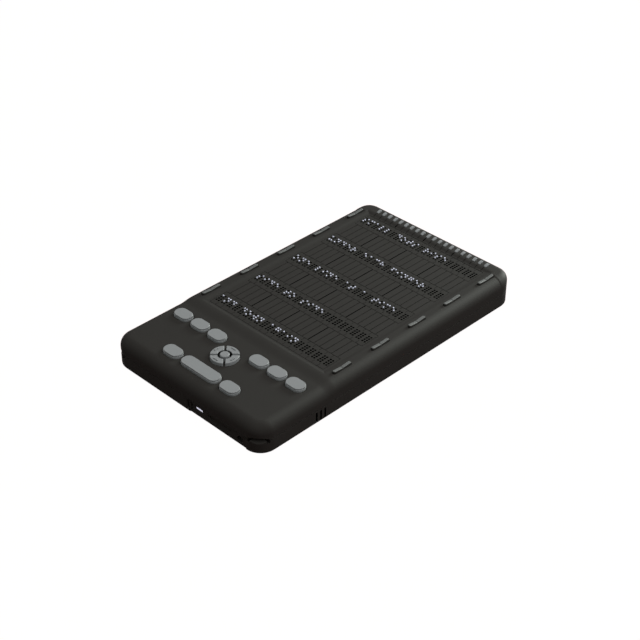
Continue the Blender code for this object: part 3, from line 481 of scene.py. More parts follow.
def stack(bm, outline, profile, slot=0, place=(0, 0)):
    """A solid with one ring of the outline per (offset, z), from its underside up, about a place."""
    centre = Vector(place[:2])
    rings = [ring(bm, [centre + point for point in grow(outline, offset)], z) for offset, z in profile]
    loft(bm, rings, slot)


def solid(outline, profile, place=(0, 0)):
    """A new mesh with one stack."""
    bm = bmesh.new()
    stack(bm, outline, profile, place=place)
    return bm


def quarter_arc(radius, steps=SMALL_STEPS, last=90):
    """Inset and depth of points along a rounded edge, from its side up to the angle last."""
    return [(radius - x, radius - y) for x, y in arc((0, 0), radius, 0, last, steps)]


def shoulder(offset, top, radius, steps=SMALL_STEPS):
    """Profile of a rounded outer edge that ends level at the top."""
    return [(offset - inset, top - depth) for inset, depth in quarter_arc(radius, steps)]


def flare(top, radius):
    """Profile of an opening's cutter that rounds the opening's rim, ending outside the surface."""
    profile = [(inset, top - depth) for inset, depth in quarter_arc(radius, last=RIM_END_ANGLE)]
    offset, height = profile[-1]
    return profile + [(offset + 2 * (top + OVERRUN - height), top + OVERRUN)]


def add_object(name, data):
    obj = bpy.data.objects.new(name, data)
    bpy.context.scene.collection.objects.link(obj)
    return obj


def make_object(name, bm, *looks):
    """An object from a mesh; looks names the finishes in its material slots."""
    bmesh.ops.recalc_face_normals(bm, faces=bm.faces)
    mesh_data = bpy.data.meshes.new(name)
    bm.to_mesh(mesh_data)
    bm.free()
    for look in looks:
        mesh_data.materials.append(finishes[look])
    return add_object(name, mesh_data)


def carve(target, *cutters):
    """Cuts each mesh in turn out of the target, then removes the cutters."""
    objects = []
    for bm in cutters:
        cutter = make_object("cutter", bm)
        for material in target.data.materials:
            cutter.data.materials.append(material)
        modifier = target.modifiers.new("cut", "BOOLEAN")
        modifier.operation = "DIFFERENCE"
        modifier.solver = "EXACT"
        modifier.object = cutter
        objects.append(cutter)
    graph = bpy.context.evaluated_depsgraph_get()
    carved = bpy.data.meshes.new_from_object(target.evaluated_get(graph))
    target.modifiers.clear()
    target.data = carved
    for cutter in objects:
        bpy.data.objects.remove(cutter)


def dress(obj, body, slot, *nodes, degrees=SMOOTH_ANGLE):
    """Smooth shading up to an angle, then body and the nodes the piece stands for. The slot argument is not
    used.
    """
    obj.data.shade_smooth()
    obj.data.set_sharp_from_angle(angle=math.radians(degrees))
    modifier = obj.modifiers.new("normals", "WEIGHTED_NORMAL")
    modifier.keep_sharp = True
    modifier.weight = FLAT_FACE_WEIGHT
    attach(obj, body)
    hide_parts(*nodes)


def box_into(bm, low, high, slot=0):
    """A plain block between two corners."""
    made = bmesh.ops.create_cube(bm, size=1)["verts"]
    bmesh.ops.scale(bm, vec=Vector(high) - Vector(low), verts=made)
    bmesh.ops.translate(bm, vec=(Vector(low) + Vector(high)) / 2, verts=made)
    for face in {face for vert in made for face in vert.link_faces}:
        face.material_index = slot


def move(bm, vector, first_vert=0):
    turned(bm, Matrix.Translation(vector), first_vert)


def finish_key(bm, node, z, slot, *looks, name="{}_cap", degrees=SMOOTH_ANGLE):
    """Makes a key of a mesh, over the middle of its node and riding on the node's body."""
    place = middle(node)
    move(bm, (place.x, place.y, z))
    dress(make_object(name.format(node), bm, *looks), node, slot, node, degrees=degrees)


def turned(bm, matrix, first_vert=0):
    bm.verts.ensure_lookup_table()
    bmesh.ops.transform(bm, matrix=matrix, verts=bm.verts[first_vert:])


def cut_across(bm, y):
    bmesh.ops.bisect_plane(bm, geom=bm.verts[:] + bm.edges[:] + bm.faces[:], plane_co=(0, y, 0),
                           plane_no=(0, 1, 0))


# Upper shell

def ease(share):
    """A slope's height at a share of its run: level at both ends."""
    share = min(1, max(0, share))
    return share * share * (3 - 2 * share)


def ease_inverse(share):
    return 0.5 - math.sin(math.asin(1 - 2 * min(1, share)) / 3)


def top_rise(y):
    """Height of the top against the deck, outside the sunk deck."""
    front = (RAIL_RISE + KEYPAD_DROP) * ease((y - KEYPAD_REAR_Y) / KEYPAD_SLOPE_RUN)
    rear = (REAR_RISE - RAIL_RISE) * ease((y - DECK_REAR_Y) / (LAND_START_Y - DECK_REAR_Y))
    return front + rear - KEYPAD_DROP


def case_half_outline():
    """Right half of the case's outline, front to rear, with points along both slopes of the top."""
    x = HALF_WIDTH - CORNER_RADIUS
    slopes = (spread(KEYPAD_REAR_Y, KEYPAD_SLOPE_RUN, SLOPE_STEPS)
              + spread(DECK_REAR_Y, LAND_START_Y - DECK_REAR_Y, SMALL_STEPS))
    return (arc((x, FRONT_Y + CORNER_RADIUS), CORNER_RADIUS, -90, 0, CORNER_STEPS)
            + [(HALF_WIDTH, y) for y in slopes]
            + arc((x, REAR_Y - CORNER_RADIUS), CORNER_RADIUS, 0, 90, CORNER_STEPS))


def top_form(inset, base_z):
    """The closed form of the case's top, drawn in on every side by inset."""
    half = case_half_outline()
    outline = half + [(-x, y) for x, y in reversed(half)]
    normals = [moved - Vector(point) for point, moved in zip(outline, grow(outline, 1))]
    bm = bmesh.new()
    rings = [ring(bm, [Vector(point) - normal * inset for point, normal in zip(outline, normals)], base_z)]
    for share_in, share_down in quarter_arc(1, EDGE_STEPS):
        verts = []
        for point, normal in zip(outline, normals):
            rear_share = ease((point[1] - REAR_Y + CORNER_RADIUS) / CORNER_RADIUS)
            radius = TOP_EDGE_RADIUS + (REAR_EDGE_RADIUS - TOP_EDGE_RADIUS) * rear_share - inset
            place = Vector(point) - normal * (inset + radius * share_in)
            z = DECK_Z + top_rise(point[1]) - inset - radius * share_down
            verts.append(bm.verts.new((*place, z)))
        rings.append(verts)
    bridge(bm, rings)
    bm.faces.new(list(reversed(rings[0])))
    top = rings[-1]
    for index in range(len(half) - 1):
        bm.faces.new((top[index], top[index + 1], top[-index - 2], top[-index - 1]))
    return bm


def deck_pocket():
    """The sunk deck, with sides that ease up to the rails, the ridge and the rear land."""
    bm = bmesh.new()
    rings = []
    for height in spread(0, REAR_RISE, SLOPE_STEPS) + [REAR_RISE + OVERRUN]:
        rail_share = ease_inverse(height / RAIL_RISE)
        land_share = ease_inverse(height / REAR_RISE)
        over = max(0, height - RAIL_RISE)
        x = DECK_HALF_WIDTH + RAIL_SLOPE_RUN * rail_share + over
        front = DECK_FRONT_Y - FRONT_SLOPE_RUN * rail_share - over
        rear = DECK_REAR_Y + REAR_SLOPE_RUN * land_share + max(0, height - REAR_RISE)
        rings.append(ring(bm, [(x, front), (x, rear), (-x, rear), (-x, front)], DECK_Z + height))
    loft(bm, rings)
    return bm


def opening(bm, outline, place, top_z, rim=RIM):
    """A cutter for an opening in the top shell with a rounded rim."""
    stack(bm, outline, [(0, KEYPAD_Z - 3 * WALL)] + flare(top_z, rim), place=place)


def top_openings():
    """Openings of the braille lines, the rockers, the routing keys, the oblong keys and the arrow pad."""
    bm = bmesh.new()
    cap = rounded(FIELD_WIDTH + 2 * CAP_GAP, CAP_DEPTH + 2 * CAP_GAP, RIM + CAP_GAP)
    rocker = rounded(ROCKER_WIDTH + 2 * GAP, ROCKER_LENGTH + 2 * ROCKER_END_GAP, ROCKER_CORNER + GAP)
    routing = rounded(ROUTING_WIDTH + GAP, ROUTING_LENGTH + GAP, ROUTING_CORNER + GAP / 2)
    for y in LINE_YS:
        opening(bm, cap, (0, y), DECK_Z, RIM / 2)
    for node in ROCKER_NODES:
        opening(bm, rocker, middle(node), RAIL_Z)
    for node in ROUTING_NODES:
        place = middle(node)
        opening(bm, routing, (place.x, place.y + ROUTING_SHIFT), LAND_Z, RIM / 2)
    for node, outline in key_outlines().items():
        opening(bm, grow(outline, KEY_CLEARANCE), middle(node), KEYPAD_Z)
    for quarter in range(4):
        first = len(bm.verts)
        opening(bm, grow(quarter_outline(0), NAV_RIB_CLEARANCE), (0, 0), KEYPAD_Z, RIM / 2)
        turned(bm, quarter_turn(quarter, 0), first)
    return bm


def quarter_turn(quarter, z):
    """From the arrow that points to +Y to any of the four, about the select key."""
    return Matrix.Translation((0, middle("select_key").y, z)) @ Matrix.Rotation(quarter * math.pi / 2, 4, "Z")


def select_opening():
    """The select key's bore, cut on its own because it overlaps the arrows' openings."""
    bm = bmesh.new()
    opening(bm, circle(NAV_BORE_RADIUS), middle("select_key"), KEYPAD_Z)
    return bm


def key_outlines():
    """Outline of each oblong key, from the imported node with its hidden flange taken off."""
    outlines = {}
    for node in [f"dot_key_{number}" for number in range(1, 9)] + ["space_bar"]:
        low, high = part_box(node)
        size = high - low
        outlines[node] = rounded(size.x - 2 * KEY_FLANGE, size.y - 2 * KEY_FLANGE, KEY_CORNER, KEY_STEPS)
    return outlines


def cell_x(cell):
    return (cell - (CELLS - 1) / 2) * CELL_PITCH


def groove(bm, x, size, start, stop, slot=0):
    """A steep groove along Y; size is its width and depth, start and stop (y, z) of the surface it cuts."""
    width, depth = size
    half = width / 2
    floor_half = half * GROOVE_FLOOR_SHARE
    rise = OVERRUN * (half - floor_half) / depth
    section = [(-half - rise, OVERRUN), (-floor_half, -depth), (floor_half, -depth), (half + rise, OVERRUN)]
    loft(bm, [front_ring(bm, section, x, y, z) for y, z in (start, stop)], slot)


def column_groove(bm, cell, start, stop):
    """A groove along a column of cells; after every fifth column it is wide and lined with black as painted
    shade.
    """
    wide = (cell + 1) % GROOVES_PER_GROUP == 0 and cell < CELLS - 1
    # slot 1 paints the wide grooves' shade in black
    groove(bm, cell_x(cell), WIDE_GROOVE_SIZE if wide else GROOVE_SIZE, start, stop, int(wide))


def guide_grooves():
    """Grooves along each column, from one line of cells to the next."""
    bm = bmesh.new()
    clear = CAP_DEPTH / 2 + CAP_GAP + RIM
    for cell in range(CELLS):
        for front, rear in zip(LINE_YS, LINE_YS[1:]):
            column_groove(bm, cell, (front + clear, DECK_Z), (rear - clear, DECK_Z))
    return bm


def rear_grooves():
    """The guide grooves' last stretch, up the rear slope."""
    bm = bmesh.new()
    ends = [(DECK_REAR_Y + REAR_SLOPE_RUN * share, DECK_Z + REAR_RISE * ease(share))
            for share in REAR_GROOVE_SHARES]
    for cell in range(CELLS):
        column_groove(bm, cell, *ends)
    return bm


def tongue_rebate():
    """Room inside the top shell's rim for the bottom shell's tongue."""
    lip = WALL - TONGUE_THICKNESS - GAP
    outline = rounded(2 * (HALF_WIDTH - lip), REAR_Y - FRONT_Y - 2 * lip, CORNER_RADIUS - lip, CORNER_STEPS)
    return solid(outline, [(0, SEAM_Z - OVERRUN), (0, SEAM_Z + TONGUE_HEIGHT + GAP)])


def upper_shell():
    """The top, its openings and grooves, and the upper half of the lanyard notches."""
    base_z = SEAM_Z + SEAM_GAP / 2
    shell = make_object("upper_shell", top_form(0, base_z), "charcoal_plastic", "painted_shade_black")
    carve(shell, top_form(WALL, base_z - OVERRUN), deck_pocket(), tongue_rebate(), top_openings(),
          select_opening(), guide_grooves(), rear_grooves(), lanyard_notches())
    dress(shell, "case", "charcoal_plastic", "upper_housing", degrees=14)


# Lower shell

def lower_shell():
    """The bottom tray, with its tongue, ports, vents, lanyard recesses and underside details."""
    top_z = SEAM_Z - SEAM_GAP / 2
    lip = WALL - TONGUE_THICKNESS
    outline = rounded(2 * HALF_WIDTH, REAR_Y - FRONT_Y, CORNER_RADIUS, CORNER_STEPS)
    edge = [(-depth, UNDERSIDE_Z + inset) for inset, depth in quarter_arc(BOTTOM_EDGE_RADIUS)]
    tongue = [(-lip, top_z), (-lip, SEAM_Z + TONGUE_HEIGHT)]
    form = solid(outline, edge + shoulder(0, top_z, SEAM_LIP, 2) + tongue)
    shell = make_object("lower_shell", form, "charcoal_plastic", "painted_shade_black")
    carve(shell, tray_hollow(), port_recess(), front_openings(),
          front_slit(SWITCH_SLIT_LENGTH, SWITCH_SLIT_HEIGHT, SWITCH_X, SWITCH_Z), card_scoop(),
          front_slit(CARD_SLOT_WIDTH, CARD_SLOT_HEIGHT, CARD_X, CARD_TOP_Z - CARD_SLOT_HEIGHT / 2),
          vent_slots(), lanyard_notches(), lanyard_holes(), underside_cuts())
    dress(shell, "case", "charcoal_plastic", "lower_housing", degrees=28)


def tray_hollow():
    outline = rounded(2 * (HALF_WIDTH - WALL), REAR_Y - FRONT_Y - 2 * WALL, CORNER_RADIUS + 2 * WALL)
    return solid(outline, [(0, UNDERSIDE_Z + FLOOR), (0, SEAM_Z + TONGUE_HEIGHT + OVERRUN)])


def port_recess():
    """The sunk band of the front face that holds the ports, with a ramp at its left end."""
    top_z = SEAM_Z - RECESS_BELOW_SEAM
    below = OVERRUN * math.tan(math.pi / 4 / SMALL_STEPS)
    outline = [(-OVERRUN, top_z), (RECESS_DEPTH, top_z)]
    outline += [(RECESS_DEPTH + inset, UNDERSIDE_Z + depth)
                for inset, depth in quarter_arc(BOTTOM_EDGE_RADIUS)]
    outline += [(RECESS_DEPTH + BOTTOM_EDGE_RADIUS + OVERRUN, UNDERSIDE_Z - below),
                (-OVERRUN, UNDERSIDE_Z - OVERRUN)]
    bm = bmesh.new()
    loft(bm, [[bm.verts.new((end_x + ramp * min(1, y / RECESS_DEPTH), FRONT_Y + y, z)) for y, z in outline]
              for end_x, ramp in ((RECESS_RIGHT_X, 0), (RECESS_LEFT_X, RECESS_RAMP))])
    return bm


def facing_front(bm, outline, profile, centre, slot=0):
    """A stack turned to face the front: its outline in X and Z, its depth along +Y from centre."""
    first = len(bm.verts)
    stack(bm, outline, profile, slot)
    turned(bm, Matrix.Translation(centre) @ Matrix.Rotation(math.pi / 2, 4, "X"), first)


def front_openings():
    """Openings of the power slider and the two sockets, with softened rims."""
    bm = bmesh.new()
    depth = WALL + 2 * OVERRUN
    switch = rounded(SWITCH_SLOT, SWITCH_HEIGHT + 2 * GAP, GAP, 2)
    usb = rounded(USB_WIDTH + 2 * GAP, USB_HEIGHT + 2 * GAP, USB_HEIGHT / 2, KEY_STEPS)
    for outline, x, z, reach in ((switch, SWITCH_X, SWITCH_Z, SWITCH_RECESS), (usb, USB_X, USB_Z, depth),
                                 (circle(JACK_RADIUS), JACK_X, JACK_Z, depth)):
        facing_front(bm, outline, [(0, -reach)] + flare(0, RIM), (x, RECESS_Y, z))
    return bm


def front_slit(width, height, x, z):
    """A slit through the front wall, for the slider's stem or a card."""
    bm = bmesh.new()
    outline = rounded(width, height, height / 3, 2)
    facing_front(bm, outline, [(0, -WALL - OVERRUN), (0, OVERRUN)], (x, RECESS_Y, z))
    return bm


def card_scoop():
    """A shallow scoop below the card slot: level above, curved below, its floor leaning outwards."""
    half = CARD_SCOOP_WIDTH / 2
    radius = (half * half + CARD_SCOOP_HEIGHT * CARD_SCOOP_HEIGHT) / (2 * CARD_SCOOP_HEIGHT)
    reach = math.degrees(math.asin(half / radius))
    outline = arc((0, radius - CARD_SCOOP_HEIGHT), radius, -90 - reach, -90 + reach, KEY_STEPS * 2)
    lean = CARD_SCOOP_DEPTH / CARD_SCOOP_HEIGHT
    floor_ys = [RECESS_Y + CARD_SCOOP_FOOT + lean * (z + CARD_SCOOP_HEIGHT) for _, z in outline]
    bm = bmesh.new()
    loft(bm, [[bm.verts.new((CARD_X + x, y, CARD_TOP_Z + z)) for (x, z), y in zip(outline, ys)]
              for ys in ([RECESS_Y - OVERRUN] * len(outline), floor_ys)])
    return bm


def vent_slots():
    """Blind slots in the right side, lined with black as painted shade."""
    bm = bmesh.new()
    top = SEAM_Z - VENT_BELOW_SEAM
    for step in range(VENT_COUNT):
        y = KEYPAD_REAR_Y - VENT_FROM_KEYPAD_REAR + (step - (VENT_COUNT - 1) / 2) * VENT_PITCH
        box_into(bm, (HALF_WIDTH - VENT_DEPTH, y - VENT_WIDTH / 2, top - VENT_HEIGHT),
                 # slot 1 paints the shade inside the slot black
                 (HALF_WIDTH + OVERRUN, y + VENT_WIDTH / 2, top), 1)
    return bm


def at_corner(sign):
    """From a frame that faces -Y at a front corner's axis, to the left or the right corner."""
    place = (sign * (HALF_WIDTH - CORNER_RADIUS), FRONT_Y + CORNER_RADIUS, 0)
    return Matrix.Translation(place) @ Matrix.Rotation(sign * math.radians(45 - LANYARD_TURN), 4, "Z")


def lanyard_notches():
    """A notch with two sloping faces across each front corner, deepest at the seam."""
    bm = bmesh.new()
    back = CORNER_RADIUS - LANYARD_DEPTH
    out = LANYARD_DEPTH + OVERRUN
    section = [(-back, SEAM_Z), (-back - out, SEAM_Z - out),
               (-back - out, SEAM_Z + LANYARD_UPPER_SLOPE * out)]
    for sign in (-1, 1):
        first = len(bm.verts)
        loft(bm, [[bm.verts.new((x, y, z)) for y, z in section] for x in (-LANYARD_REACH, LANYARD_REACH)])
        turned(bm, at_corner(sign), first)
    return bm


def lanyard_holes():
    """Pockets for the strap at both ends of each notch."""
    bm = bmesh.new()
    slant = (Matrix.Translation((*LANYARD_HOLE_START, 0))
             @ Matrix.Rotation(math.radians(LANYARD_HOLE_ANGLE), 4, "Z"))
    for sign in (-1, 1):
        for end in (-1, 1):
            first = len(bm.verts)
            box_into(bm, (-LANYARD_HOLE_INSIDE, 0, SEAM_Z - LANYARD_HOLE_HEIGHT),
                     (LANYARD_HOLE_OUTSIDE, LANYARD_HOLE_WIDTH, SEAM_Z))
            turned(bm, at_corner(sign) @ Matrix.Scale(end, 4, (1, 0, 0)) @ slant, first)
    return bm


def screw_places():
    x = HALF_WIDTH - FOOT_INSET
    return [(sign * x, y) for sign in (-1, 1) for y in (FRONT_Y + 2 * FOOT_INSET, 0, REAR_Y - 2 * FOOT_INSET)]


def underside_cuts():
    """Screw wells, the outline of the battery door and a bare sunk plate."""
    bm = bmesh.new()
    below = UNDERSIDE_Z - OVERRUN
    well = [(RIM, below), (RIM, UNDERSIDE_Z), (0, UNDERSIDE_Z + RIM), (0, UNDERSIDE_Z + SCREW_WELL_DEPTH)]
    for place in screw_places():
        stack(bm, circle(SCREW_WELL_RADIUS), well, place=place)
    plate = rounded(PLATE_WIDTH, PLATE_LENGTH, PLATE_CORNER)
    stack(bm, plate, [(0, below), (0, UNDERSIDE_Z + PLATE_DEPTH)], place=(0, LINE_YS[0] - PLATE_LENGTH))
    first = len(bm.verts)
    door = rounded(DOOR_WIDTH, DOOR_LENGTH, DOOR_CORNER)
    floor_z = UNDERSIDE_Z + DOOR_GROOVE
    corners = ((0, below), (0, floor_z), (-DOOR_GROOVE, floor_z), (-DOOR_GROOVE, below))
    rings = [ring(bm, grow(door, offset), z) for offset, z in corners]
    bridge(bm, rings + rings[:1])
    move(bm, (0, LINE_YS[LINES // 2], 0), first)
    return bm


# Braille lines

def tile_boundary(x, y):
    """Points round one dot's square of the cap, anticlockwise from its right side's lower corner."""
    half = DOT_PITCH / 2
    steps = spread(-half, DOT_PITCH, TILE_STEPS)[:-1]
    return ([(x + half, y + step) for step in steps] + [(x - step, y + half) for step in steps]
            + [(x - half, y - step) for step in steps] + [(x + step, y - half) for step in steps])


def dot_centre(cell, row, column):
    return cell_x(cell) + (column - 0.5) * DOT_PITCH, (1.5 - row) * DOT_PITCH


def hole_ring(bm, x, y, radius, z):
    """A ring round one dot, its points opposite those of the dot's square."""
    count = 4 * TILE_STEPS
    return ring(bm, arc((x, y), radius, -45, 315 - 360 / count, count - 1), z)


def cap_surface(bm, z, hole_radius, inset, slot):
    """One face of the cap plate, with a round opening at each dot. Returns the openings and the border."""
    half_length = FIELD_WIDTH / 2 - inset
    half_depth = CAP_DEPTH / 2 - inset
    verts = {}

    def vert(x, y):
        key = (round(x, 7), round(y, 7))
        if key not in verts:
            verts[key] = bm.verts.new((x, y, z))
        return verts[key]

    def face(corners):
        bm.faces.new(corners).material_index = slot

    holes = []
    centres = [dot_centre(cell, row, column)
               for cell in range(CELLS) for row in range(4) for column in range(2)]
    for x, y in centres:
        outside = [vert(*point) for point in tile_boundary(x, y)]
        inside = hole_ring(bm, x, y, hole_radius, z)
        for index in range(len(inside)):
            face([outside[index - 1], outside[index], inside[index], inside[index - 1]])
        holes.append((x, y, inside))
    rows = spread(-2 * DOT_PITCH, 4 * DOT_PITCH, 4 * TILE_STEPS)
    columns = [spread(cell_x(cell) - DOT_PITCH, 2 * DOT_PITCH, 2 * TILE_STEPS) for cell in range(CELLS)]
    for before, after in zip(columns, columns[1:]):
        for low, high in zip(rows, rows[1:]):
            face([vert(before[-1], low), vert(after[0], low), vert(after[0], high), vert(before[-1], high)])
    across = [x for cell in columns for x in cell]
    front = [(-half_length, rows[0]), (-half_length, -half_depth), (half_length, -half_depth),
             (half_length, rows[0])] + [(x, rows[0]) for x in reversed(across)]
    left = [(-half_length, rows[0])] + [(across[0], y) for y in rows] + [(-half_length, rows[-1])]
    for sign in (1, -1):
        for points in (front, left):
            face([vert(sign * x, sign * y) for x, y in points])
    border = [vert(sign * half_length, sign * y) for sign in (1, -1)
              for y in (-half_depth, rows[0], rows[-1], half_depth)]
    return holes, border


def cap_plate():
    """The strip over one line of cells: a plate with 160 round openings, and walls below it; its underside
    and the lower walls of the openings are black as painted shade.
    """
    half_length = FIELD_WIDTH / 2
    half_depth = CAP_DEPTH / 2
    foot = RAIL_Z - WALL - GAP - DECK_Z
    bm = bmesh.new()
    top_holes, top_border = cap_surface(bm, 0, HOLE_RADIUS + HOLE_CHAMFER, CAP_EDGE, 0)
    # slot 1 paints the shade down in the dot holes and under the plate black
    low_holes, low_border = cap_surface(bm, -CAP_PLATE, HOLE_RADIUS, CAP_WALL, 1)
    for (x, y, upper), (_, _, lower) in zip(top_holes, low_holes):
        chamfer = hole_ring(bm, x, y, HOLE_RADIUS, -HOLE_CHAMFER)
        bridge(bm, [upper, chamfer])
        bridge(bm, [chamfer, lower], 1)
    loops = [top_border]
    corner = CAP_EDGE * CAP_EDGE_SHARE
    for outset, z in ((corner, -corner), (0, -CAP_EDGE), (0, foot)):
        loop = []
        for x, y, _ in [vert.co for vert in top_border]:
            if abs(y) > half_depth - CAP_WALL:
                y = math.copysign(half_depth - outset, y)
            loop.append(bm.verts.new((math.copysign(half_length - outset, x), y, z)))
        loops.append(loop)
    loops.append([bm.verts.new((vert.co.x, vert.co.y, foot)) for vert in low_border])
    bridge(bm, loops + [low_border])
    return bm


def tick_cutter():
    """Short grooves between cells, in front of the dots and behind them."""
    bm = bmesh.new()
    inner = 2 * DOT_PITCH + TICK_FROM_DOTS
    outer = CAP_DEPTH / 2 + OVERRUN
    for boundary in range(1, CELLS):
        x = (boundary - CELLS / 2) * CELL_PITCH
        for start, stop in ((-outer, -inner), (inner, outer)):
            groove(bm, x, TICK_SIZE, (start, 0), (stop, 0))
    return bm


def raised_dots(line):
    """Centres of the raised dots of one line, counted from the front."""
    places = []
    for cell, letter in enumerate(TEXT_LINES[LINES - 1 - line]):
        for dot in LETTER_DOTS[letter]:
            column, row = divmod(int(dot) - 1, 3)
            places.append(dot_centre(cell, row, column))
    return places


def pin_comb(line, rise):
    """The raised dots of one line, as domed pins, and the bar that carries them, black as painted shade at
    the bottom of the holes.
    """
    bm = bmesh.new()
    margin = CAP_WALL + 2 * GAP
    top = -CAP_PLATE - GAP
    # the bar is black as painted shade seen through the holes
    box_into(bm, (-FIELD_WIDTH / 2 + margin, -CAP_DEPTH / 2 + margin, top - COMB_THICKNESS),
             (FIELD_WIDTH / 2 - margin, CAP_DEPTH / 2 - margin, top), 1)
    profile = [(PIN_RADIUS, top - GAP)]
    for inset, depth in quarter_arc(1, PIN_DOME_STEPS)[:-1]:
        profile.append((PIN_RADIUS * (1 - inset), rise - (rise - PIN_SHOULDER) * depth))
    for x, y in raised_dots(line):
        rings = [ring(bm, circle(radius, 4 * PIN_DOME_STEPS, (x, y)), z) for radius, z in profile]
        bridge(bm, rings)
        bm.faces.new(list(reversed(rings[0])))
        tip = bm.verts.new((x, y, rise))
        for index, vert in enumerate(rings[-1]):
            bm.faces.new((rings[-1][index - 1], vert, tip))
    return bm


def braille_lines():
    """A cap for each line, all from one mesh, with the line's own dots in it."""
    first = make_object("cap_line_1", cap_plate(), "cap_plastic", "painted_shade_black")
    carve(first, tick_cutter())
    caps = [first] + [add_object(f"cap_line_{line + 1}", first.data.copy()) for line in range(1, LINES)]
    for line, cap in enumerate(caps):
        node = f"dot_comb_{line + 1}"
        pins = pin_comb(line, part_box(node)[1].z - DECK_Z)
        comb = make_object(f"pins_line_{line + 1}", pins, "dot_plastic", "painted_shade_black")
        for obj in (cap, comb):
            obj.data.transform(Matrix.Translation((0, LINE_YS[line], DECK_Z)))
        dress(cap, "case", "cap_plastic", f"braille_cap_{line + 1}")
        dress(comb, node, "dot_plastic", node, degrees=50)


# Keys

def key_profile():
    """Profile of an oblong key: flange, flared skirt, neck, and a plate with a rounded edge."""
    crown = -KEY_CROWN_INSET
    profile = [(KEY_FLANGE, FLANGE_TOP - 4 * GAP), (KEY_FLANGE, FLANGE_TOP), (0, FLANGE_TOP),
               (0, KEY_SKIRT_BASE)]
    profile += shoulder(-KEY_SKIRT_SLOPE, KEY_SKIRT_TOP, RIM)
    profile += [(crown - KEY_NECK, KEY_SKIRT_TOP + RIM / 4), (crown - KEY_NECK, KEY_CROWN_BASE),
                (crown - RIM / 2, KEY_CROWN_BASE), (crown, KEY_CROWN_BASE + RIM / 2)]
    return profile + shoulder(crown, KEY_RISE, KEY_BEAD)


def oblong_keys():
    for node, outline in key_outlines().items():
        finish_key(solid(outline, key_profile()), node, KEYPAD_Z, "key_plastic", "key_plastic")


def quarter_outline(inset):
    """A quarter of the arrow pad that points to +Y: arcs outside and inside, slits at 45 degrees."""
    points = []
    for radius, way, steps in ((NAV_RADIUS - inset, 1, 2 * ROUND_STEPS),
                               (NAV_BORE_RADIUS + inset, -1, ROUND_STEPS)):
        reach = way * (45 - math.degrees(math.asin((NAV_SLIT / 2 + inset) / radius)))
        points += arc((0, 0), radius, 90 - reach, 90 + reach, steps)
    return soften(points, NAV_CORNER)


def soften(outline, radius):
    """Rounds the outline's sharp corners with short curves."""
    points = []
    for index, point in enumerate(outline):
        here = Vector(point)
        before = here - Vector(outline[index - 1])
        after = Vector(outline[(index + 1) % len(outline)]) - here
        if before.angle(after) < math.radians(NAV_CORNER_ANGLE):
            points.append(tuple(here))
            continue
        start = here - before.normalized() * min(radius, before.length / 2)
        stop = here + after.normalized() * min(radius, after.length / 2)
        for share in spread(0, 1, SMALL_STEPS):
            points.append(tuple(start.lerp(here, share).lerp(here.lerp(stop, share), share)))
    return points


def arrow_pad():
    """Four quarters with beaded rims, inner walls black as painted shade, and a raised dash each, riding on
    their own bodies.
    """
    profile = [(0, FLANGE_TOP - 4 * GAP), (0, KEY_SKIRT_BASE)] + shoulder(-NAV_SLOPE, NAV_RISE, NAV_BEAD)
    dash = rounded(NAV_DASH_LENGTH, NAV_DASH_WIDTH, NAV_DASH_CORNER)
    for quarter, node in enumerate(("arrow_up", "arrow_left", "arrow_down", "arrow_right")):
        bm = bmesh.new()
        loft(bm, [ring(bm, quarter_outline(-offset), z) for offset, z in profile])
        # the inner walls by the select key, below the rim, take black as painted shade
        for face in bm.faces:
            centre = face.calc_center_median()
            if centre.z < NAV_RISE - NAV_BEAD and centre.xy.length < NAV_BORE_RADIUS + RIM:
                face.material_index = 1
        stack(bm, dash, [(0, NAV_RISE - NAV_BEAD)] + shoulder(0, NAV_RISE + NAV_DASH_RISE, RIM, 3),
              place=(0, NAV_DASH_RADIUS))
        turned(bm, quarter_turn(quarter, KEYPAD_Z))
        dress(make_object(f"{node}_pad", bm, "key_plastic", "black_plastic"), node, "key_plastic", node)


def select_button():
    profile = [(0, FLANGE_TOP)] + shoulder(0, SELECT_RISE, SELECT_EDGE, KEY_STEPS)
    finish_key(solid(circle(SELECT_RADIUS), profile), "select_key", KEYPAD_Z, "key_plastic", "key_plastic",
               name="select_button")


# Rockers and routing keys

def rocker_caps():
    """Rockers that dip towards the middle, with a groove across it and sides darkened with the case's
    charcoal as painted shade.
    """
    outline = rounded(ROCKER_WIDTH, ROCKER_LENGTH, ROCKER_CORNER, KEY_STEPS)
    profile = [(0, -2 * WALL), (0, RIM)] + shoulder(-ROCKER_SLOPE, ROCKER_RISE, ROCKER_EDGE)
    groove_half = ROCKER_GROOVE / 2
    for node in ROCKER_NODES:
        bm = solid(outline, profile)
        for y in (-groove_half, 0, groove_half):
            cut_across(bm, y)
        # the sides below the rounded top edge take charcoal as painted shade
        for face in bm.faces:
            if face.calc_center_median().z < ROCKER_RISE - ROCKER_EDGE:
                face.material_index = 1
        for vert in bm.verts:
            if vert.co.z > 0:
                vert.co.z -= ROCKER_DIP * (1 - abs(vert.co.y) / (ROCKER_LENGTH / 2))
                if abs(vert.co.y) < groove_half / 2:
                    vert.co.z -= ROCKER_GROOVE_DEPTH
        finish_key(bm, node, RAIL_Z, "rocker_plastic", "rocker_plastic", "charcoal_plastic", degrees=24)


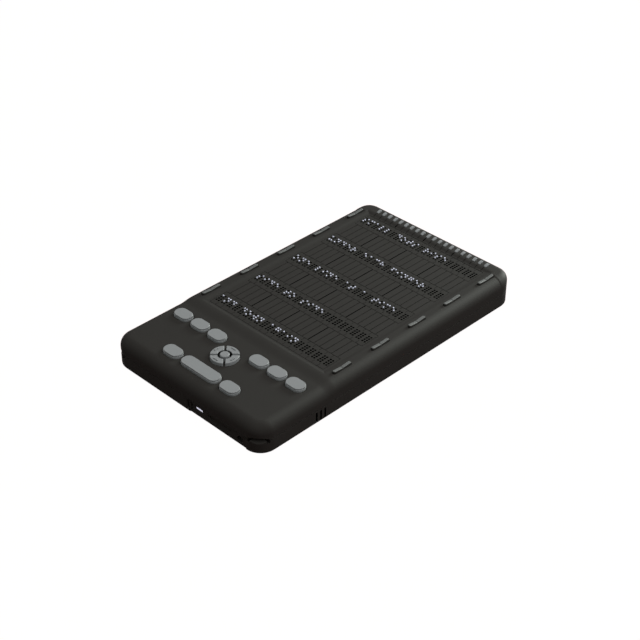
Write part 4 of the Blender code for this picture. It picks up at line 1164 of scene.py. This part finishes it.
def routing_buttons():
    """Cursor routing keys, whose fronts bend down over the edge of the rear land."""
    outline = rounded(ROUTING_WIDTH, ROUTING_LENGTH, ROUTING_CORNER)
    profile = [(0, FLANGE_TOP)] + shoulder(0, ROUTING_RISE, ROUTING_EDGE)
    for node in ROUTING_NODES:
        bm = solid(outline, profile)
        for step in range(1, KEY_STEPS):
            cut_across(bm, ROUTING_LENGTH * (step / KEY_STEPS - 0.5))
        for vert in bm.verts:
            share = 0.5 - vert.co.y / ROUTING_LENGTH
            if vert.co.z > 0 and share > 1 - ROUTING_BEND_SHARE:
                bend = (share - 1 + ROUTING_BEND_SHARE) / ROUTING_BEND_SHARE
                vert.co.z -= ROUTING_BEND_DROP * bend ** ROUTING_BEND_POWER
        move(bm, (0, ROUTING_SHIFT, 0))
        finish_key(bm, node, LAND_Z, "rocker_plastic", "key_plastic", degrees=24)


# Ports and inner parts

def power_slider():
    """The slider's thumb and the stem that carries it through the slit."""
    bm = bmesh.new()
    outline = rounded(SWITCH_WIDTH, SWITCH_HEIGHT, SWITCH_EDGE)
    facing_front(bm, outline, [(0, GAP / 3 - SWITCH_RECESS)] + shoulder(0, 0, SWITCH_EDGE),
                 (SWITCH_X, RECESS_Y, SWITCH_Z))
    half = SWITCH_STEM_WIDTH / 2
    reach = SWITCH_STEM_HEIGHT / 2
    box_into(bm, (SWITCH_X - half, RECESS_Y + SWITCH_RECESS - GAP, SWITCH_Z - reach),
             (SWITCH_X + half, RECESS_Y + SWITCH_STEM_DEPTH, SWITCH_Z + reach))
    slider = make_object("power_slider", bm, "charcoal_plastic")
    dress(slider, "power_switch", "black_plastic", "power_switch")


def board_piece():
    """The main board as it is behind the ports: plate, chips and card reader."""
    low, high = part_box("main_board")
    top = USB_Z - USB_HEIGHT / 2 + GAP + GAP / 3
    reader_y = FRONT_Y + WALL + GAP
    bm = bmesh.new()
    box_into(bm, (low.x, FRONT_Y + BOARD_SETBACK, top - BOARD_THICKNESS), (high.x, high.y, top))
    box_into(bm, (CARD_X - READER_WIDTH / 2, reader_y, top + GAP / 3),
             (CARD_X + READER_WIDTH / 2, reader_y + READER_LENGTH, top + READER_HEIGHT), 1)
    for index in range(CHIPS):
        row, column = divmod(index, CHIP_COLUMNS)
        x = low.x + (high.x - low.x) * (column + 0.5) / CHIP_COLUMNS
        y = high.y - CHIP_MARGIN - row * CHIP_ROW_PITCH
        half = CHIP_SIZES[index % 2] / 2
        box_into(bm, (x - half, y - half, top), (x + half, y + half, top + CHIP_HEIGHT), 1)
    board = make_object("main_board_assembly", bm, "board_green", "black_plastic")
    dress(board, "case", "board_green", "main_board")


def usb_socket():
    """The charging socket: a black shell, partly its own dark colour and partly painted shade round the
    opening, a plated lining and a tongue in it.
    """
    mouth_y = RECESS_Y + USB_SETBACK
    shell = rounded(USB_WIDTH, USB_HEIGHT, USB_HEIGHT / 2 - GAP / 2, KEY_STEPS)
    lining = rounded(USB_LINING_WIDTH, USB_LINING_HEIGHT, USB_LINING_HEIGHT / 2 - GAP / 2, KEY_STEPS)
    tongue = rounded(USB_TONGUE_WIDTH, USB_TONGUE_HEIGHT, USB_TONGUE_HEIGHT / 3, 2)
    sections = ((shell, USB_DEPTH), (shell, 0), (lining, 0), (lining, USB_LINING_SETBACK))
    bm = bmesh.new()
    back = loft(bm, [front_ring(bm, outline, USB_X, mouth_y + y, USB_Z) for outline, y in sections])
    back.material_index = 1
    facing_front(bm, tongue, [(0, -USB_LINING_SETBACK - RIM), (0, RIM / 2 - USB_LINING_SETBACK)],
                 (USB_X, mouth_y, USB_Z), 1)
    dress(make_object("usb_socket", bm, "black_plastic", "socket_plating"), "case", "board_green")


def headphone_jack():
    """A sleeve behind its opening, with a narrower throat at its end."""
    mouth_y = FRONT_Y + WALL + GAP / 3
    sections = ((JACK_SLEEVE_RADIUS, JACK_DEPTH), (JACK_SLEEVE_RADIUS, 0), (JACK_BORE_RADIUS, 0),
                (JACK_BORE_RADIUS, JACK_BORE_DEPTH), (JACK_THROAT_RADIUS, JACK_BORE_DEPTH),
                (JACK_THROAT_RADIUS, JACK_THROAT_DEPTH))
    bm = bmesh.new()
    loft(bm, [front_ring(bm, circle(radius), JACK_X, mouth_y + y, JACK_Z) for radius, y in sections])
    dress(make_object("headphone_jack", bm, "charcoal_plastic"), "case", "board_green")


def rubber_feet():
    profile = [(-2 * RIM, 0), (-RIM / 2, RIM / 2), (0, 2 * RIM), (0, FOOT_HEIGHT + GAP)]
    for index, (sign_x, sign_y) in enumerate(((-1, -1), (1, -1), (-1, 1), (1, 1))):
        place = (sign_x * (HALF_WIDTH - FOOT_INSET), sign_y * (REAR_Y - FOOT_INSET))
        foot = make_object(f"rubber_foot_{index + 1}", solid(circle(FOOT_RADIUS), profile, place), "rubber")
        dress(foot, "case", "charcoal_plastic")


def case_screws():
    """Cross-head screws in the wells of the underside, their crosses cut one bar after the other."""
    base = UNDERSIDE_Z + SCREW_WELL_DEPTH
    profile = [(offset, base + z) for offset, z in SCREW_HEAD_PROFILE]
    low, high = [base + z for z in SCREW_CROSS_HEIGHTS]
    for index, (x, y) in enumerate(screw_places()):
        head = solid(circle(SCREW_HEAD_RADIUS), profile)
        screw = make_object(f"case_screw_{index + 1}", head, "plated_steel")
        for half_x, half_y in (SCREW_CROSS_HALVES, reversed(SCREW_CROSS_HALVES)):
            bar = bmesh.new()
            box_into(bar, (-half_x, -half_y, low), (half_x, half_y, high))
            carve(screw, bar)
        screw.data.transform(Matrix.Translation((x, y, 0)))
        dress(screw, "case", "charcoal_plastic")


def paint_inner_nodes():
    """Colours of the two inner solids that are shown as they are."""
    for node, finish in (("keypad_board", "board_green"), ("battery_pack", "battery_wrap")):
        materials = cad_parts[node].data.materials
        materials.clear()
        materials.append(finishes[finish])


# Stage, light and camera

def show_or_light(tree, showing, lighting, output):
    """One shader for the camera, reflections and glass; another for the light that the piece gives."""
    path = add_node(tree, "ShaderNodeLightPath").outputs
    seen = calculate(tree, "MAXIMUM", path["Is Camera Ray"], path["Is Glossy Ray"])
    seen = calculate(tree, "MAXIMUM", seen, path["Is Transmission Ray"])
    pick = add_node(tree, "ShaderNodeMixShader", seen, lighting, showing)
    tree.links.new(pick.outputs["Shader"], tree.nodes[output].inputs["Surface"])


def floor():
    bm = bmesh.new()
    bmesh.ops.create_grid(bm, x_segments=1, y_segments=1, size=FLOOR_SIZE / 2)
    tree = new_material("floor_white")
    shader = tree.nodes["Principled BSDF"]
    for socket, value in (("Base Color", FLOOR_SHADE), ("Roughness", 1.0), ("Specular IOR Level", 0.0)):
        shader.inputs[socket].default_value = value
    shade = shader.outputs["BSDF"]
    glow = add_node(tree, "ShaderNodeEmission", Strength=FLOOR_GLOW).outputs["Emission"]
    both = add_node(tree, "ShaderNodeAddShader", shade, glow).outputs["Shader"]
    show_or_light(tree, both, shade, "Material Output")
    make_object("floor", bm, "floor_white")


def sky():
    """White where it is seen; its light fades from overhead to the horizon."""
    world = bpy.data.worlds.new("studio")
    bpy.context.scene.world = world
    world.use_nodes = True
    tree = world.node_tree
    direction = add_node(tree, "ShaderNodeTexCoord").outputs["Generated"]
    height = add_node(tree, "ShaderNodeSeparateXYZ", direction).outputs["Z"]
    lift = calculate(tree, "POWER", height, SKY_FALLOFF)
    soft = tree.nodes["Background"]
    tree.links.new(mix_colours(tree, lift, SKY_HORIZON, SKY_ZENITH), soft.inputs["Color"])
    white = add_node(tree, "ShaderNodeBackground", Color=(1, 1, 1, 1), Strength=1.0)
    show_or_light(tree, white.outputs["Background"], soft.outputs["Background"], "World Output")


def area_light(name, place, size, power, colour, gloss_only):
    """A square softbox aimed at the middle of the case."""
    light = bpy.data.lights.new(name, "AREA")
    light.size = size
    light.energy = power
    light.color = colour
    lamp = add_object(name, light)
    lamp.location = place
    lamp.rotation_mode = "QUATERNION"
    lamp.rotation_quaternion = (-Vector(place)).to_track_quat("-Z", "Y")
    lamp.visible_diffuse = not gloss_only


def camera():
    data = bpy.data.cameras.new("camera")
    data.lens = CAMERA_LENS
    data.sensor_width = CAMERA_SENSOR
    data.clip_start, data.clip_end = CAMERA_CLIP
    forward = CAMERA_FORWARD.normalized()
    right = (CAMERA_RIGHT - forward * CAMERA_RIGHT.dot(forward)).normalized()
    turn = Matrix((right, right.cross(forward), -forward)).transposed().to_4x4()
    bpy.context.scene.camera = add_object("camera", data)
    bpy.context.scene.camera.matrix_world = Matrix.Translation(CAMERA_PLACE) @ turn


make_finishes()
upper_shell()
lower_shell()
braille_lines()
oblong_keys()
arrow_pad()
select_button()
rocker_caps()
routing_buttons()
power_slider()
board_piece()
usb_socket()
headphone_jack()
rubber_feet()
case_screws()
paint_inner_nodes()
floor()
sky()
for lamp in LIGHTS:
    area_light(*lamp)
camera()
bpy.context.scene.view_settings.view_transform = "Standard"
